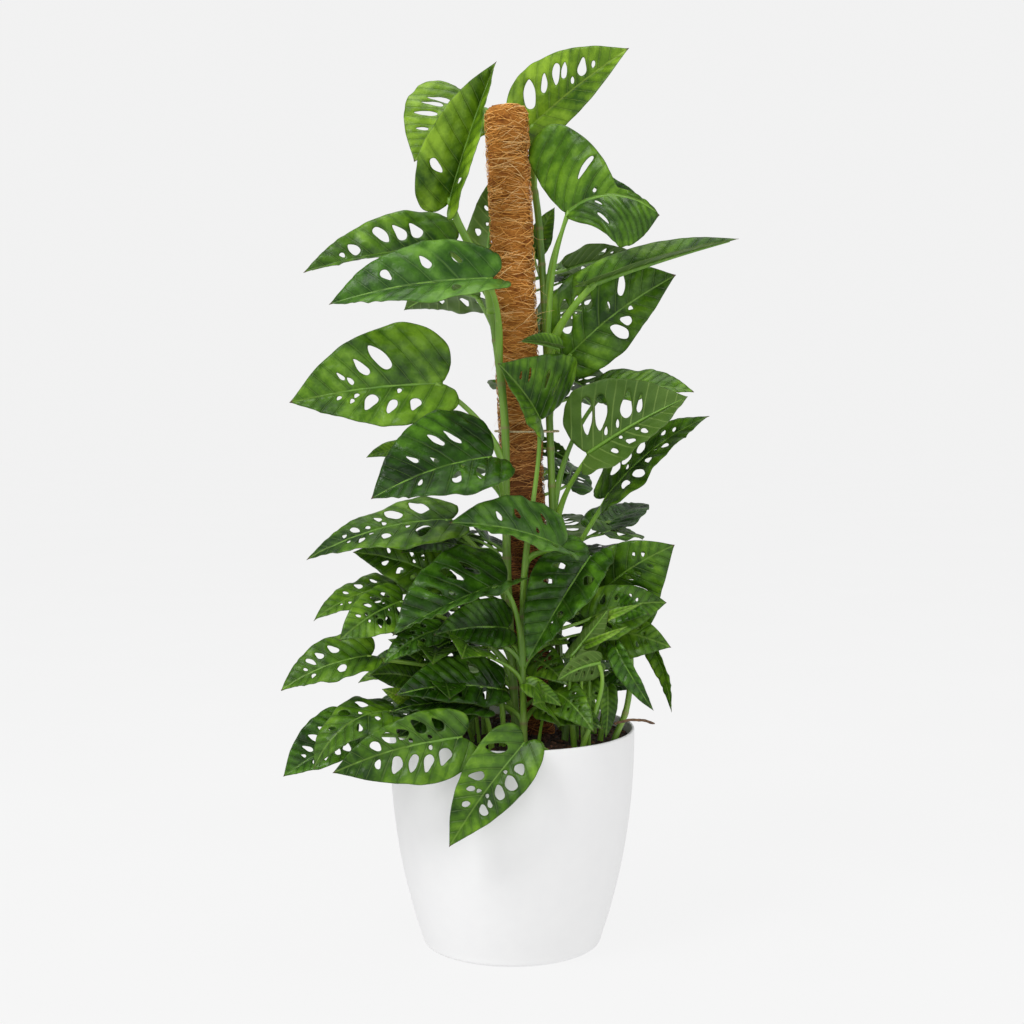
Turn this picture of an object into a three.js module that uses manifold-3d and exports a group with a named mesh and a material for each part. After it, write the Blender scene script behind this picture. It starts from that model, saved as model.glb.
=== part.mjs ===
// A climbing monstera (Swiss-cheese vine) tied to a coir pole, in a plain round planter.
// Millimetres, +Z up. The origin is the centre of the planter's flat base and the front is -Y.
import * as THREE from "three";
import { mergeVertices } from "three/addons/utils/BufferGeometryUtils.js";
import Module from "manifold-3d";

const wasm = await Module();
wasm.setup();

// ---------------------------------------------------------------- driving dimensions
const gap = 0.3; // clearance between pieces that touch
const pot = { height: 222, rimRadius: 125, footRadius: 90, footCorner: 5, wall: 3, floor: 4, flare: 2.2 };
const soil = { top: 211, mound: 4, clearance: 1.8, rootDepth: 20 };
const pole = { foot: [29, 10, 50], top: [-6, 0, 848], radius: 22.5, coreRadius: 11 };
const sleeve = { start: 185, cap: 9, ridge: 0.8, shoulderWidth: 2.5, shoulderHeight: 3, flatShare: 0.55 };
const blade = { thickness: 1, curl: -15, edgeBlend: 8, widest: 0.2, leastWidth: 0.12 };
const holeSlant = { base: 0.55, gain: 0.35, innerWidth: 0.7, outerWidth: 0.9 };
const stalk = { radius: 2.2, join: 0.04, depth: 0.5, rise: 0.4, reach: 0.3, turn: 0.6, sides: 5, steps: 4 };
const tie = { centre: [15, 3, 523], radius: 32, thickness: 1.8 };
const rimRoot = {
  radius: 1.5,
  through: [
    [101, -62, 236],
    [112, -66, 240],
    [126, -68, 241],
    [140, -70, 238],
  ],
};
const vineSides = 8;

// Half of a heart-shaped blade: across as a share of the half width, along as a share of the length.
// A leaf's `taper` narrows each half towards the tip, or widens it below 0.
// Its `sweep` leans a half forward.
const halfOutline = [
  [0.22, -0.06],
  [0.64, -0.06],
  [0.96, 0.1],
  [0.98, 0.35],
  [0.72, 0.6],
  [0.38, 0.83],
  [0.1, 0.96],
];
const midribStations = [0.75, 0.5, 0.25];

// Holes between the side veins: [along, across, long, wide], as shares of the length and the half width.
const holeSets = {
  none: [],
  few: [
    [0.2, 0.45, 0.4, 0.06],
    [0.45, 0.38, 0.36, 0.055],
  ],
  open: [
    [0.17, 0.46, 0.46, 0.08],
    [0.4, 0.42, 0.44, 0.075],
  ],
  wide: [
    [0.16, 0.46, 0.52, 0.09],
    [0.38, 0.42, 0.46, 0.09],
    [0.58, 0.3, 0.36, 0.07],
  ],
};

// ---------------------------------------------------------------- the plan of the plant
// Vines: the points that each one climbs through, and its radius.
const vines = {
  vine_left: {
    radius: 5,
    through: [
      [8, -46, 170],
      [2, -42, 260],
      [-4, -38, 360],
      [-6, -33, 450],
      [-7, -30, 530],
      [-14, -28, 600],
      [-22, -25, 655],
    ],
  },
  vine_right: {
    radius: 4.5,
    through: [
      [54, 10, 170],
      [48, 12, 300],
      [42, 8, 430],
      [37, 8, 560],
      [31, 14, 680],
      [24, 24, 760],
      [14, 30, 800],
    ],
  },
  vine_front: {
    radius: 4,
    through: [
      [13, -72, 170],
      [11, -70, 260],
      [10, -58, 330],
      [14, -44, 400],
    ],
  },
  vine_rim: {
    radius: 3.6,
    through: [
      [94, -50, 170],
      [102, -50, 218],
      [113, -47, 245],
      [118, -45, 280],
      [117, -43, 322],
    ],
  },
  vine_back: {
    radius: 4.5,
    through: [
      [8, 50, 170],
      [4, 46, 300],
      [-2, 40, 430],
      [-6, 36, 560],
      [-10, 33, 660],
    ],
  },
};

// Leaves: [where the stalk leaves a vine at a height, or a point in the soil], the blade's base and tip,
// the side that its upper face looks to, its half widths, and how it droops and folds, in degrees.
const leaves = {
  leaf_crown_right: {
    from: ["vine_right", 770], base: [18, 38, 832], tip: [116, -10, 902], face: [0, -1, 0.1],
    half: [52, 36], droop: 15, fold: [5, 45], holes: "open",
  },
  leaf_crown_left: {
    from: ["vine_left", 640], base: [-62, -32, 748], tip: [-15, -48, 882], face: [-0.2, -1, 0.1],
    half: [42, 40], droop: 25, fold: [42, 65], holes: "few", stalk: 4,
  },
  leaf_crown_round: {
    from: ["vine_back", 650], base: [-38, 38, 852], tip: [-98, 0, 792], face: [-0.2, -1, 0.2],
    half: [34, 60], droop: 20, fold: [15, 5], holes: "open",
  },
  leaf_upper_heart: {
    from: ["vine_right", 590], base: [53, -32, 738], tip: [142, -71, 732], face: [0, -0.2, 0.97],
    half: [69, 43], droop: 84, fold: [84, -62], taper: [2.6, -0.8], sweep: [0.12, 0.95], holes: "few",
  },
  leaf_left_high: {
    from: ["vine_back", 600], base: [-62, -12, 707], tip: [-206, -32, 680], face: [0, -0.9, 0.4],
    half: [30, 42], droop: 30, fold: [60, 12], holes: "open",
  },
  leaf_left_front: {
    from: ["vine_left", 590], base: [-20, -64, 672], tip: [-176, -78, 646], face: [0, -0.9, 0.3],
    half: [36, 44], droop: 35, fold: [50, 5], taper: [-0.2, -0.3], holes: "few",
  },
  leaf_left_mid: {
    from: ["vine_left", 470], base: [-70, -30, 571], tip: [-219, -46, 552], face: [0, -1, 0.1],
    half: [44, 64], droop: 20, fold: [35, 5], holes: "wide",
  },
  leaf_left_quilted: {
    from: ["vine_left", 400], base: [-20, -78, 500], tip: [-133, -122, 462], face: [-0.1, -0.85, 0.4],
    half: [44, 62], droop: 30, fold: [30, 8], holes: "few",
  },
  leaf_centre_pointed: {
    from: ["vine_front", 392], base: [48, -60, 411], tip: [-59, -130, 440], face: [-0.1, -0.8, 0.6],
    half: [34, 42], droop: 30, fold: [40, 15], holes: "few",
  },
  leaf_centre_broad: {
    from: ["vine_front", 290], base: [-6, -76, 378], tip: [-113, -128, 333], face: [-0.1, -0.85, 0.5],
    half: [40, 54], droop: 35, fold: [60, 8], holes: "few",
  },
  leaf_left_third: {
    from: ["vine_left", 330], base: [-61, -35, 436], tip: [-201, -66, 399], face: [-0.1, -0.5, 0.85],
    half: [42, 42], droop: 25, fold: [10, 10], taper: [0.3, 0.3], holes: "open",
  },
  leaf_left_fourth: {
    from: ["vine_left", 300], base: [-72, -26, 378], tip: [-158, -40, 404], face: [0, -0.8, 0.6],
    half: [28, 26], droop: 20, fold: [10, 20], holes: "open",
  },
  leaf_left_fifth: {
    from: ["vine_left", 280], base: [-116, -34, 370], tip: [-193, -80, 341], face: [-0.1, -0.6, 0.8],
    half: [22, 22], droop: 30, fold: [15, 15], holes: "few",
  },
  leaf_left_sixth: {
    from: ["vine_left", 260], base: [-108, -62, 358], tip: [-166, -100, 324], face: [-0.2, -0.9, 0.3],
    half: [28, 26], droop: 30, fold: [15, 15], holes: "open",
  },
  leaf_left_seventh: {
    from: ["vine_left", 230], base: [-138, -75, 306], tip: [-223, -96, 275], face: [-0.1, -0.6, 0.8],
    half: [26, 32], droop: 30, fold: [15, 25], holes: "open",
  },
  leaf_left_arched: {
    from: [-40, -70], base: [-116, -86, 253], tip: [-188, -130, 206], face: [-0.4, -0.7, 0.6],
    half: [26, 30], droop: 85, fold: [10, 10], holes: "few",
  },
  leaf_left_low: {
    from: [-60, -60], base: [-151, -74, 229], tip: [-221, -100, 192], face: [-0.1, -0.9, 0.3],
    half: [22, 36], droop: 25, fold: [35, 10], holes: "open",
  },
  leaf_rim_left: {
    from: [-30, -84], base: [-48, -131, 237], tip: [-169, -142, 205], face: [-0.1, -1, 0.25],
    half: [35, 33], droop: 20, fold: [10, 10], holes: "wide",
  },
  leaf_rim_front: {
    from: [40, -84], base: [11, -136, 232], tip: [-59, -152, 137], face: [0.05, -1, 0.2],
    half: [30, 36], droop: 25, fold: [30, 5], holes: "wide",
  },
  leaf_right_dark: {
    from: [52, -36], base: [78, -28, 398], tip: [14, -98, 303], face: [-0.1, -1, 0.3],
    half: [34, 42], droop: 20, fold: [45, 15], holes: "few",
  },
  leaf_right_open: {
    from: [84, 4], base: [84, 0, 352], tip: [162, -36, 411], face: [0, -1, 0.2],
    half: [36, 56], droop: 50, fold: [10, 0], taper: [-0.2, 0.2], holes: "wide",
  },
  leaf_right_pale: {
    from: [62, -62], base: [58, -84, 306], tip: [94, -88, 354], face: [0.6, 0.6, 0.1],
    half: [14, 12], droop: 25, fold: [20, 20], holes: "none",
  },
  leaf_right_hanging: {
    from: ["vine_rim", 300], base: [123, -46, 334], tip: [158, -54, 246], face: [-0.8, -0.6, 0.2],
    half: [11, 11], droop: -40, fold: [15, 15], holes: "none",
  },
  leaf_right_yellow: {
    from: ["vine_rim", 290], base: [101, -76, 314], tip: [137, -94, 255], face: [-0.3, -1, 0.1],
    half: [9, 12], droop: 60, fold: [20, 30], holes: "none",
  },
  leaf_front_small: {
    from: ["vine_front", 240], base: [14, -88, 281], tip: [48, -98, 260], face: [0, -0.8, 0.6],
    half: [10, 12], droop: 30, fold: [20, 20], holes: "none",
  },
  leaf_front_pale: {
    from: [66, -80], base: [85, -92, 302], tip: [43, -104, 286], face: [0, 1, 0.3],
    half: [15, 15], droop: 25, fold: [10, 10], holes: "few",
  },
  leaf_rim_right: {
    from: [72, -44], base: [78, -60, 277], tip: [76, -76, 227], face: [0, -1, 0.3],
    half: [11, 11], droop: 30, fold: [20, 20], holes: "few",
  },
  leaf_rim_corner: {
    from: [88, -34], base: [95, -48, 270], tip: [92, -66, 222], face: [0.3, -1, 0.3],
    half: [10, 10], droop: 30, fold: [25, 25], holes: "none",
  },
  leaf_right_mid: {
    from: ["vine_right", 400], base: [76, -36, 502], tip: [171, -64, 558], face: [0.1, 1, -0.1],
    half: [40, 60], droop: -20, fold: [-45, 0], holes: "wide",
  },
  leaf_right_mid_behind: {
    from: ["vine_right", 420], base: [89, 0, 562], tip: [182, -18, 563], face: [0, -0.6, 0.8],
    half: [34, 20], droop: 20, fold: [10, 10], holes: "none",
  },
  leaf_right_slender: {
    from: ["vine_right", 330], base: [95, -10, 457], tip: [196, -30, 539], face: [-0.2, -0.5, 0.9],
    half: [40, 36], droop: 25, fold: [10, 15], holes: "open",
  },
  leaf_centre_high: {
    from: ["vine_front", 350], base: [28, -36, 535], tip: [-14, -70, 590], face: [0.1, -1, 0.3],
    half: [32, 70], droop: 45, fold: [55, 0], taper: [0, 0.3], holes: "few",
  },
  leaf_centre_rolled: {
    from: ["vine_right", 560], base: [46, -36, 606], tip: [8, -48, 612], face: [0, -0.7, 0.7],
    half: [12, 12], droop: 20, fold: [60, 50], holes: "none",
  },
  leaf_right_high: {
    from: ["vine_right", 530], base: [56, 16, 598], tip: [165, 0, 680], face: [0, -1, 0.1],
    half: [60, 32], droop: 20, fold: [5, 15], taper: [-0.5, 0], holes: "wide",
  },
  leaf_right_edge: {
    from: ["vine_right", 575], base: [76, -42, 668], tip: [219, -64, 710], face: [-0.1, -0.7, 0.7],
    half: [30, 22], droop: 10, fold: [10, 60], holes: "none", stalk: 3.5,
  },
  leaf_back_high: {
    from: ["vine_back", 610], base: [-28, 46, 684], tip: [-12, 52, 795], face: [0, 1, 0.2],
    half: [24, 26], droop: 20, fold: [15, 15], holes: "few",
  },
  leaf_low_cup: {
    from: ["vine_front", 225], base: [-4, -54, 330], tip: [-76, -88, 328], face: [0, -0.9, 0.4],
    half: [22, 30], droop: 40, fold: [20, 20], holes: "none",
  },
  leaf_low_long: {
    from: [-10, -62], base: [-12, -70, 272], tip: [-112, -114, 274], face: [0, -0.85, 0.5],
    half: [20, 38], droop: 30, fold: [20, 5], holes: "few",
  },
  leaf_low_flat: {
    from: [-20, -76], base: [-26, -84, 256], tip: [-118, -104, 256], face: [0, -0.35, 0.95],
    half: [22, 22], droop: 30, fold: [10, 10], holes: "none",
  },
  leaf_low_dark: {
    from: [-40, -14], base: [-62, -20, 312], tip: [-116, -40, 276], face: [0, -0.9, 0.4],
    half: [30, 30], droop: 30, fold: [10, 10], holes: "few",
  },
  leaf_back_upper: {
    from: ["vine_back", 560], base: [25, 70, 640], tip: [112, 150, 640], face: [-0.4, 0.5, 0.8],
    half: [44, 44], droop: 40, fold: [12, 12], holes: "open",
  },
  leaf_back_left: {
    from: ["vine_back", 560], base: [-34, 72, 662], tip: [-118, 144, 652], face: [0.3, 0.5, 0.8],
    half: [38, 38], droop: 40, fold: [12, 12], holes: "open",
  },
  leaf_back_mid: {
    from: ["vine_back", 480], base: [12, 84, 572], tip: [30, 190, 540], face: [0, 0.5, 0.85],
    half: [42, 42], droop: 40, fold: [12, 12], holes: "wide",
  },
  leaf_back_lower: {
    from: ["vine_back", 400], base: [-24, 80, 482], tip: [-82, 172, 462], face: [0, 0.5, 0.85],
    half: [42, 42], droop: 40, fold: [12, 12], holes: "open",
  },
  leaf_back_right: {
    from: ["vine_back", 330], base: [26, 86, 420], tip: [70, 186, 385], face: [0, 0.5, 0.85],
    half: [44, 44], droop: 40, fold: [12, 12], holes: "wide",
  },
  leaf_back_low_left: {
    from: ["vine_back", 260], base: [-40, 76, 350], tip: [-116, 150, 320], face: [-0.2, 0.5, 0.85],
    half: [38, 38], droop: 40, fold: [12, 12], holes: "open",
  },
  leaf_back_low_right: {
    from: ["vine_back", 240], base: [50, 74, 320], tip: [96, 160, 296], face: [0.2, 0.5, 0.85],
    half: [38, 38], droop: 40, fold: [12, 12], holes: "open",
  },
  leaf_back_rim: {
    from: [-10, 80], base: [-10, 112, 262], tip: [-24, 206, 214], face: [0, 0.6, 0.8],
    half: [38, 38], droop: 45, fold: [12, 12], holes: "open",
  },
};

// ---------------------------------------------------------------- looks
const finish = (color, roughness) => new THREE.MeshStandardMaterial({ color, roughness, metalness: 0 });
const finishes = {
  pot: finish(0xf2f2f0, 0.45),
  soil: finish(0x2a1c14, 0.95),
  coir: finish(0xa5652f, 0.95),
  wood: finish(0xc49a6c, 0.8),
  leaf: finish(0x2f6b1f, 0.4),
  stem: finish(0x5c8a2e, 0.5),
  twine: finish(0xb8a27c, 0.9),
  root: finish(0x6b4a32, 0.85),
};

// ---------------------------------------------------------------- solids
const vec = (p) => new THREE.Vector3(...p);

// A geometry as a solid that can be joined and cut: one closed surface with its shared points merged.
function solid(geometry) {
  const bare = new THREE.BufferGeometry().setAttribute("position", geometry.getAttribute("position").clone());
  bare.setIndex(geometry.index);
  const merged = mergeVertices(bare, 1e-3);
  return new wasm.Manifold(
    new wasm.Mesh({
      numProp: 3,
      vertProperties: merged.attributes.position.array,
      triVerts: new Uint32Array(merged.index.array),
    }),
  );
}

function mesh(name, body, material) {
  const { vertProperties, triVerts } = body.getMesh();
  const geometry = new THREE.BufferGeometry();
  geometry.setAttribute("position", new THREE.BufferAttribute(new Float32Array(vertProperties), 3));
  geometry.setIndex(new THREE.BufferAttribute(new Uint32Array(triVerts), 1));
  geometry.computeVertexNormals();
  const made = new THREE.Mesh(geometry, material);
  made.name = name;
  return made;
}

// A solid of revolution about +Z from [radius, height] points that go round the section anticlockwise.
function lathe(points, segments) {
  const profile = points.map(([r, z]) => new THREE.Vector2(r, z));
  return new THREE.LatheGeometry(profile, segments).rotateX(Math.PI / 2);
}

function tube(curve, radius, steps, sides) {
  const section = new THREE.Shape();
  for (let i = 0; i < sides; i++) {
    const a = (2 * Math.PI * i) / sides;
    const x = radius * Math.cos(a);
    const y = radius * Math.sin(a);
    i === 0 ? section.moveTo(x, y) : section.lineTo(x, y);
  }
  section.closePath();
  return solid(new THREE.ExtrudeGeometry(section, { steps, extrudePath: curve, bevelEnabled: false }));
}

// ---------------------------------------------------------------- planter and soil
const potRadius = (z) => pot.rimRadius - (pot.rimRadius - pot.footRadius) * (1 - z / pot.height) ** pot.flare;

function heights(from, to, count) {
  return Array.from({ length: count + 1 }, (_, i) => from + ((to - from) * i) / count);
}

function makePot() {
  const lip = pot.wall / 2;
  const chamfer = 1 - Math.SQRT1_2;
  const side = heights(pot.footCorner, pot.height - lip, 6);
  const outer = side.map((z) => [potRadius(z), z]);
  const inner = side.map((z) => [potRadius(z) - pot.wall, Math.max(z, pot.floor)]).reverse();
  inner[inner.length - 1][1] = pot.floor + pot.footCorner;
  const profile = [
    [0, 0],
    [potRadius(0) - pot.footCorner, 0],
    [potRadius(0) - pot.footCorner * chamfer, pot.footCorner * chamfer],
    ...outer,
    [pot.rimRadius - lip, pot.height],
    ...inner,
    [potRadius(0) - pot.wall - pot.footCorner, pot.floor],
    [0, pot.floor],
  ];
  return solid(lathe(profile, 40));
}

function makeSoil(cutters) {
  const inside = (z) => potRadius(z) - pot.wall - soil.clearance;
  const side = heights(pot.floor + pot.footCorner + 5, soil.top, 5).map((z) => [inside(z), z]);
  const profile = [
    [0, pot.floor + gap],
    [potRadius(0) - pot.wall - pot.footCorner - gap, pot.floor + gap],
    ...side,
    [pot.footRadius, soil.top + soil.mound / 2],
    [0, soil.top + soil.mound],
  ];
  return cutters.reduce((ground, cutter) => ground.subtract(cutter), solid(lathe(profile, 48)));
}

// ---------------------------------------------------------------- coir pole
const poleFoot = vec(pole.foot);
const poleTop = vec(pole.top);
const poleLength = poleFoot.distanceTo(poleTop);

// Stands a lathe made about +Z on the pole's own leaning axis.
function onPole(geometry) {
  const up = poleTop.clone().sub(poleFoot).normalize();
  geometry.applyQuaternion(new THREE.Quaternion().setFromUnitVectors(new THREE.Vector3(0, 0, 1), up));
  return solid(geometry.translate(poleFoot.x, poleFoot.y, poleFoot.z));
}

function makeSleeve(clearance) {
  const r = pole.radius + clearance;
  const start = sleeve.start - pole.foot[2] - clearance;
  const end = poleLength + clearance;
  const wall = heights(start, end - sleeve.cap, 4).map((z, i) => [r + (i % 2) * sleeve.ridge, z]);
  const inner = pole.coreRadius + gap;
  const roof = poleLength - sleeve.cap;
  const profile = [
    [0, roof],
    [inner, roof],
    [inner, start],
    ...wall,
    [r - sleeve.shoulderWidth, end - sleeve.shoulderHeight],
    [r * sleeve.flatShare, end],
    [0, end],
  ];
  return onPole(lathe(profile, 20));
}

function makeCore(clearance) {
  const r = pole.coreRadius + clearance;
  const top = poleLength - sleeve.cap - gap;
  const point = r / 2;
  const profile = [
    [0, -clearance],
    [point, -clearance],
    [r, point],
    [r, top],
    [0, top],
  ];
  return onPole(lathe(profile, 12));
}

// ---------------------------------------------------------------- vines
const vineCurve = Object.fromEntries(
  Object.entries(vines).map(([name, v]) => [name, new THREE.CatmullRomCurve3(v.through.map(vec))]),
);

const makeVine = (name, clearance) =>
  tube(vineCurve[name], vines[name].radius + clearance, vines[name].through.length + 2, vineSides);

// The point of a vine's centreline at a height.
function onVine(name, height) {
  const points = vineCurve[name].getPoints(60);
  const distance = (p) => Math.abs(p.z - height);
  return points.reduce((best, p) => (distance(p) < distance(best) ? p : best));
}

// ---------------------------------------------------------------- leaves
// The frame of a blade: along from base to tip, up on its face, and right, square to both.
// The midrib is an arc that leaves the base rising and reaches the tip falling, by `droop` in all.
function bladeFrame(leaf) {
  const base = vec(leaf.base);
  const chord = vec(leaf.tip).sub(base);
  const span = chord.length();
  const along = chord.clone().normalize();
  const face = vec(leaf.face);
  const up = face.addScaledVector(along, -face.dot(along)).normalize();
  const right = along.clone().cross(up);
  const droop = THREE.MathUtils.degToRad(leaf.droop || 0.1);
  const length = (span * droop) / 2 / Math.sin(droop / 2);
  return { base, along, up, right, droop, length };
}

// The point of the bent and folded blade that is `across` mm from the midrib, at a share `y` of its length.
function bladePoint(leaf, frame, side, across, y, lift) {
  const { base, along, up, right, droop, length } = frame;
  const bend = droop / length;
  const run = Math.max(y, 0) * length;
  const before = Math.min(y, 0) * length;
  const slope = droop / 2 - bend * run;
  const forward = (Math.sin(droop / 2) - Math.sin(slope)) / bend + before * Math.cos(droop / 2);
  const rise = (Math.cos(slope) - Math.cos(droop / 2)) / bend + before * Math.sin(droop / 2);
  const normal = up.clone().multiplyScalar(Math.cos(slope)).addScaledVector(along, -Math.sin(slope));
  const fold = leaf.fold[side > 0 ? 1 : 0];
  const share = across / leaf.half[side > 0 ? 1 : 0];
  const angle = THREE.MathUtils.degToRad(fold + 0.5 * blade.curl * share);
  const tilt = angle * Math.min(1, across / blade.edgeBlend);
  return base
    .clone()
    .addScaledVector(along, forward)
    .addScaledVector(up, rise)
    .addScaledVector(right, side * across * Math.cos(angle))
    .addScaledVector(normal, across * Math.sin(angle))
    .addScaledVector(normal, lift * Math.cos(tilt))
    .addScaledVector(right, -side * lift * Math.sin(tilt));
}

// A hole as a slanted box between two side veins.
function holePath([y, x, long, wide], half, length) {
  const slant = holeSlant.base + holeSlant.gain * y;
  const out = new THREE.Vector2(1, slant).normalize().multiplyScalar((long * half) / 2);
  const side = new THREE.Vector2(-out.y, out.x).normalize().multiplyScalar((wide * length) / 2);
  const centre = new THREE.Vector2(x * half, y * length);
  const corners = [
    centre.clone().sub(out).addScaledVector(side, holeSlant.innerWidth),
    centre.clone().sub(out).addScaledVector(side, -holeSlant.innerWidth),
    centre.clone().add(out).addScaledVector(side, -holeSlant.outerWidth),
    centre.clone().add(out).addScaledVector(side, holeSlant.outerWidth),
  ];
  return new THREE.Path(corners);
}

function makeHalfBlade(leaf, frame, side) {
  const half = leaf.half[side > 0 ? 1 : 0];
  const taper = leaf.taper ? leaf.taper[side > 0 ? 1 : 0] : 0;
  const sweep = leaf.sweep ? leaf.sweep[side > 0 ? 1 : 0] : 0;
  const width = (y) => half * Math.max(blade.leastWidth, 1 - taper * (y - blade.widest));
  const outline = [[0, 0], ...halfOutline, [0, 1], ...midribStations.map((y) => [0, y])];
  const shape = new THREE.Shape(outline.map(([x, y]) => new THREE.Vector2(x * width(y), y * frame.length)));
  shape.holes = holeSets[leaf.holes].map((hole) => holePath(hole, width(hole[0]), frame.length));
  const flat = new THREE.ExtrudeGeometry(shape, { depth: blade.thickness, bevelEnabled: false });
  const points = flat.attributes.position;
  for (let i = 0; i < points.count; i++) {
    const lift = points.getZ(i) - blade.thickness / 2;
    const across = points.getX(i);
    const p = bladePoint(leaf, frame, side, across, (points.getY(i) + sweep * across) / frame.length, lift);
    points.setXYZ(i, p.x, p.y, p.z);
  }
  if (side < 0) turnFaces(flat);
  return solid(flat);
}

// Turns each face round, for a half blade that the mapping has mirrored.
function turnFaces(geometry) {
  const p = geometry.attributes.position;
  for (let i = 0; i < p.count; i += 3) {
    const [x, y, z] = [p.getX(i + 1), p.getY(i + 1), p.getZ(i + 1)];
    p.setXYZ(i + 1, p.getX(i + 2), p.getY(i + 2), p.getZ(i + 2));
    p.setXYZ(i + 2, x, y, z);
  }
}

// Where a stalk starts: inside a vine at a height, or in the soil at [x, y].
function stalkStart({ from }) {
  if (typeof from[0] === "string") return onVine(...from);
  return new THREE.Vector3(from[0], from[1], soil.top - soil.rootDepth);
}

function stalkCurve(leaf, frame) {
  const start = stalkStart(leaf);
  const end = bladePoint(leaf, frame, 1, 0, stalk.join, -stalk.depth);
  const before = bladePoint(leaf, frame, 1, 0, -stalk.join, -stalk.depth);
  const reach = start.distanceTo(end);
  const arrival = end.clone().sub(before).normalize().multiplyScalar(stalk.turn);
  arrival.add(end.clone().sub(start).normalize()).normalize();
  return new THREE.CubicBezierCurve3(
    start,
    start.clone().add(new THREE.Vector3(0, 0, reach * stalk.rise)),
    end.clone().addScaledVector(arrival, -reach * stalk.reach),
    end,
  );
}

const stalkRadius = (leaf) => leaf.stalk || stalk.radius;

function makeLeaf(leaf) {
  const frame = bladeFrame(leaf);
  const halves = makeHalfBlade(leaf, frame, 1).add(makeHalfBlade(leaf, frame, -1));
  const whole = halves.add(tube(stalkCurve(leaf, frame), stalkRadius(leaf), stalk.steps, stalk.sides));
  return typeof leaf.from[0] === "string" ? whole.subtract(makeVine(leaf.from[0], gap)) : whole;
}

// ---------------------------------------------------------------- ties and roots
function makeTie() {
  return solid(new THREE.TorusGeometry(tie.radius, tie.thickness / 2, 5, 20).translate(...tie.centre));
}

function makeAerialRoot() {
  return tube(new THREE.CatmullRomCurve3(rimRoot.through.map(vec)), rimRoot.radius, 6, 6);
}

// ---------------------------------------------------------------- assembly
const plant = new THREE.Group();
const soilCutters = [
  makeSleeve(gap),
  makeCore(2 * gap),
  ...Object.keys(vines).map((name) => makeVine(name, gap)),
];

for (const [name, leaf] of Object.entries(leaves)) {
  plant.add(mesh(name, makeLeaf(leaf), finishes.leaf));
  if (typeof leaf.from[0] !== "string") {
    const curve = stalkCurve(leaf, bladeFrame(leaf));
    soilCutters.push(tube(curve, stalkRadius(leaf) + gap, stalk.steps, stalk.sides));
  }
}
for (const name of Object.keys(vines)) plant.add(mesh(name, makeVine(name, 0), finishes.stem));

plant.add(
  mesh("planter", makePot(), finishes.pot),
  mesh("potting_soil", makeSoil(soilCutters), finishes.soil),
  mesh("coir_sleeve", makeSleeve(0), finishes.coir),
  mesh("pole_core", makeCore(0), finishes.wood),
  mesh("tie_ring", makeTie(), finishes.twine),
  mesh("aerial_root", makeAerialRoot(), finishes.root),
);

export default plant;
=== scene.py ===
"""The looks of a potted monstera on a coir pole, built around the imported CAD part.

The plan below repeats the CAD's own plan, in millimetres. Meshes are made in metres.
"""

import math
import random

import bpy
import numpy as np
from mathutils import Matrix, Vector, kdtree
from mathutils.geometry import delaunay_2d_cdt


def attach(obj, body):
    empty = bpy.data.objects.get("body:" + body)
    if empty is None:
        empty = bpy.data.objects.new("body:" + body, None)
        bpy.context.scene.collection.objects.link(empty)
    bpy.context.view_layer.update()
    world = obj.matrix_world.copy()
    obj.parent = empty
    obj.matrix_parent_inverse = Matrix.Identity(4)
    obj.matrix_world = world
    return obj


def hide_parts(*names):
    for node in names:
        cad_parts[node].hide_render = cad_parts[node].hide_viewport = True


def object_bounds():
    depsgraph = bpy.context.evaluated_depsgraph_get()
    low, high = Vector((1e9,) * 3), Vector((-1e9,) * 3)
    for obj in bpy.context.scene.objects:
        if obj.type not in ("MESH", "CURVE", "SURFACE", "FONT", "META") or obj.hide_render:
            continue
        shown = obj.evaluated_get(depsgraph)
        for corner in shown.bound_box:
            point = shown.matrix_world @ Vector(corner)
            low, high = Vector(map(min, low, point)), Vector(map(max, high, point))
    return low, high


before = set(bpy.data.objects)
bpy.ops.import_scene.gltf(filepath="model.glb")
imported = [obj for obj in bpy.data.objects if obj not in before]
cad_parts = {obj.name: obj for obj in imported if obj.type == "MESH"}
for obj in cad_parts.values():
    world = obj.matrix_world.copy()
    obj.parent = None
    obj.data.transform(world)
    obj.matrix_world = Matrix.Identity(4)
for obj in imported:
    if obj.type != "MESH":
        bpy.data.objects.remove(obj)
cad_box = [list(map(float, corner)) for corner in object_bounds()]

MM = 0.001
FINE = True
CAD_LOW, CAD_HIGH = (np.array(corner) / MM for corner in cad_box)

# ---------------------------------------------------------------- the plan, as in the CAD
POT = {"height": 222, "rim": 125, "foot": 90, "corner": 5, "wall": 3, "floor": 4, "flare": 2.2}
SOIL_TOP = 211
SOIL_MOUND = 4
ROOT_DEPTH = 20
POLE_FOOT = np.array([29.0, 10.0, 50.0])
POLE_TOP = np.array([-6.0, 0.0, 848.0])
POLE_RADIUS = 22.5
SLEEVE_START = 185
SLEEVE_CAP = 9
CURL = -15
EDGE_BLEND = 8
WIDEST = 0.2
LEAST_WIDTH = 0.12
STALK = {"radius": 2.2, "join": 0.04, "depth": 0.5, "rise": 0.4, "reach": 0.3, "turn": 0.6}
TIE = {"centre": (15, 3, 523), "radius": 32, "thickness": 1.8}
RIM_ROOT = [(101, -62, 236), (112, -66, 240), (126, -68, 241), (140, -70, 238)]

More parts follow.
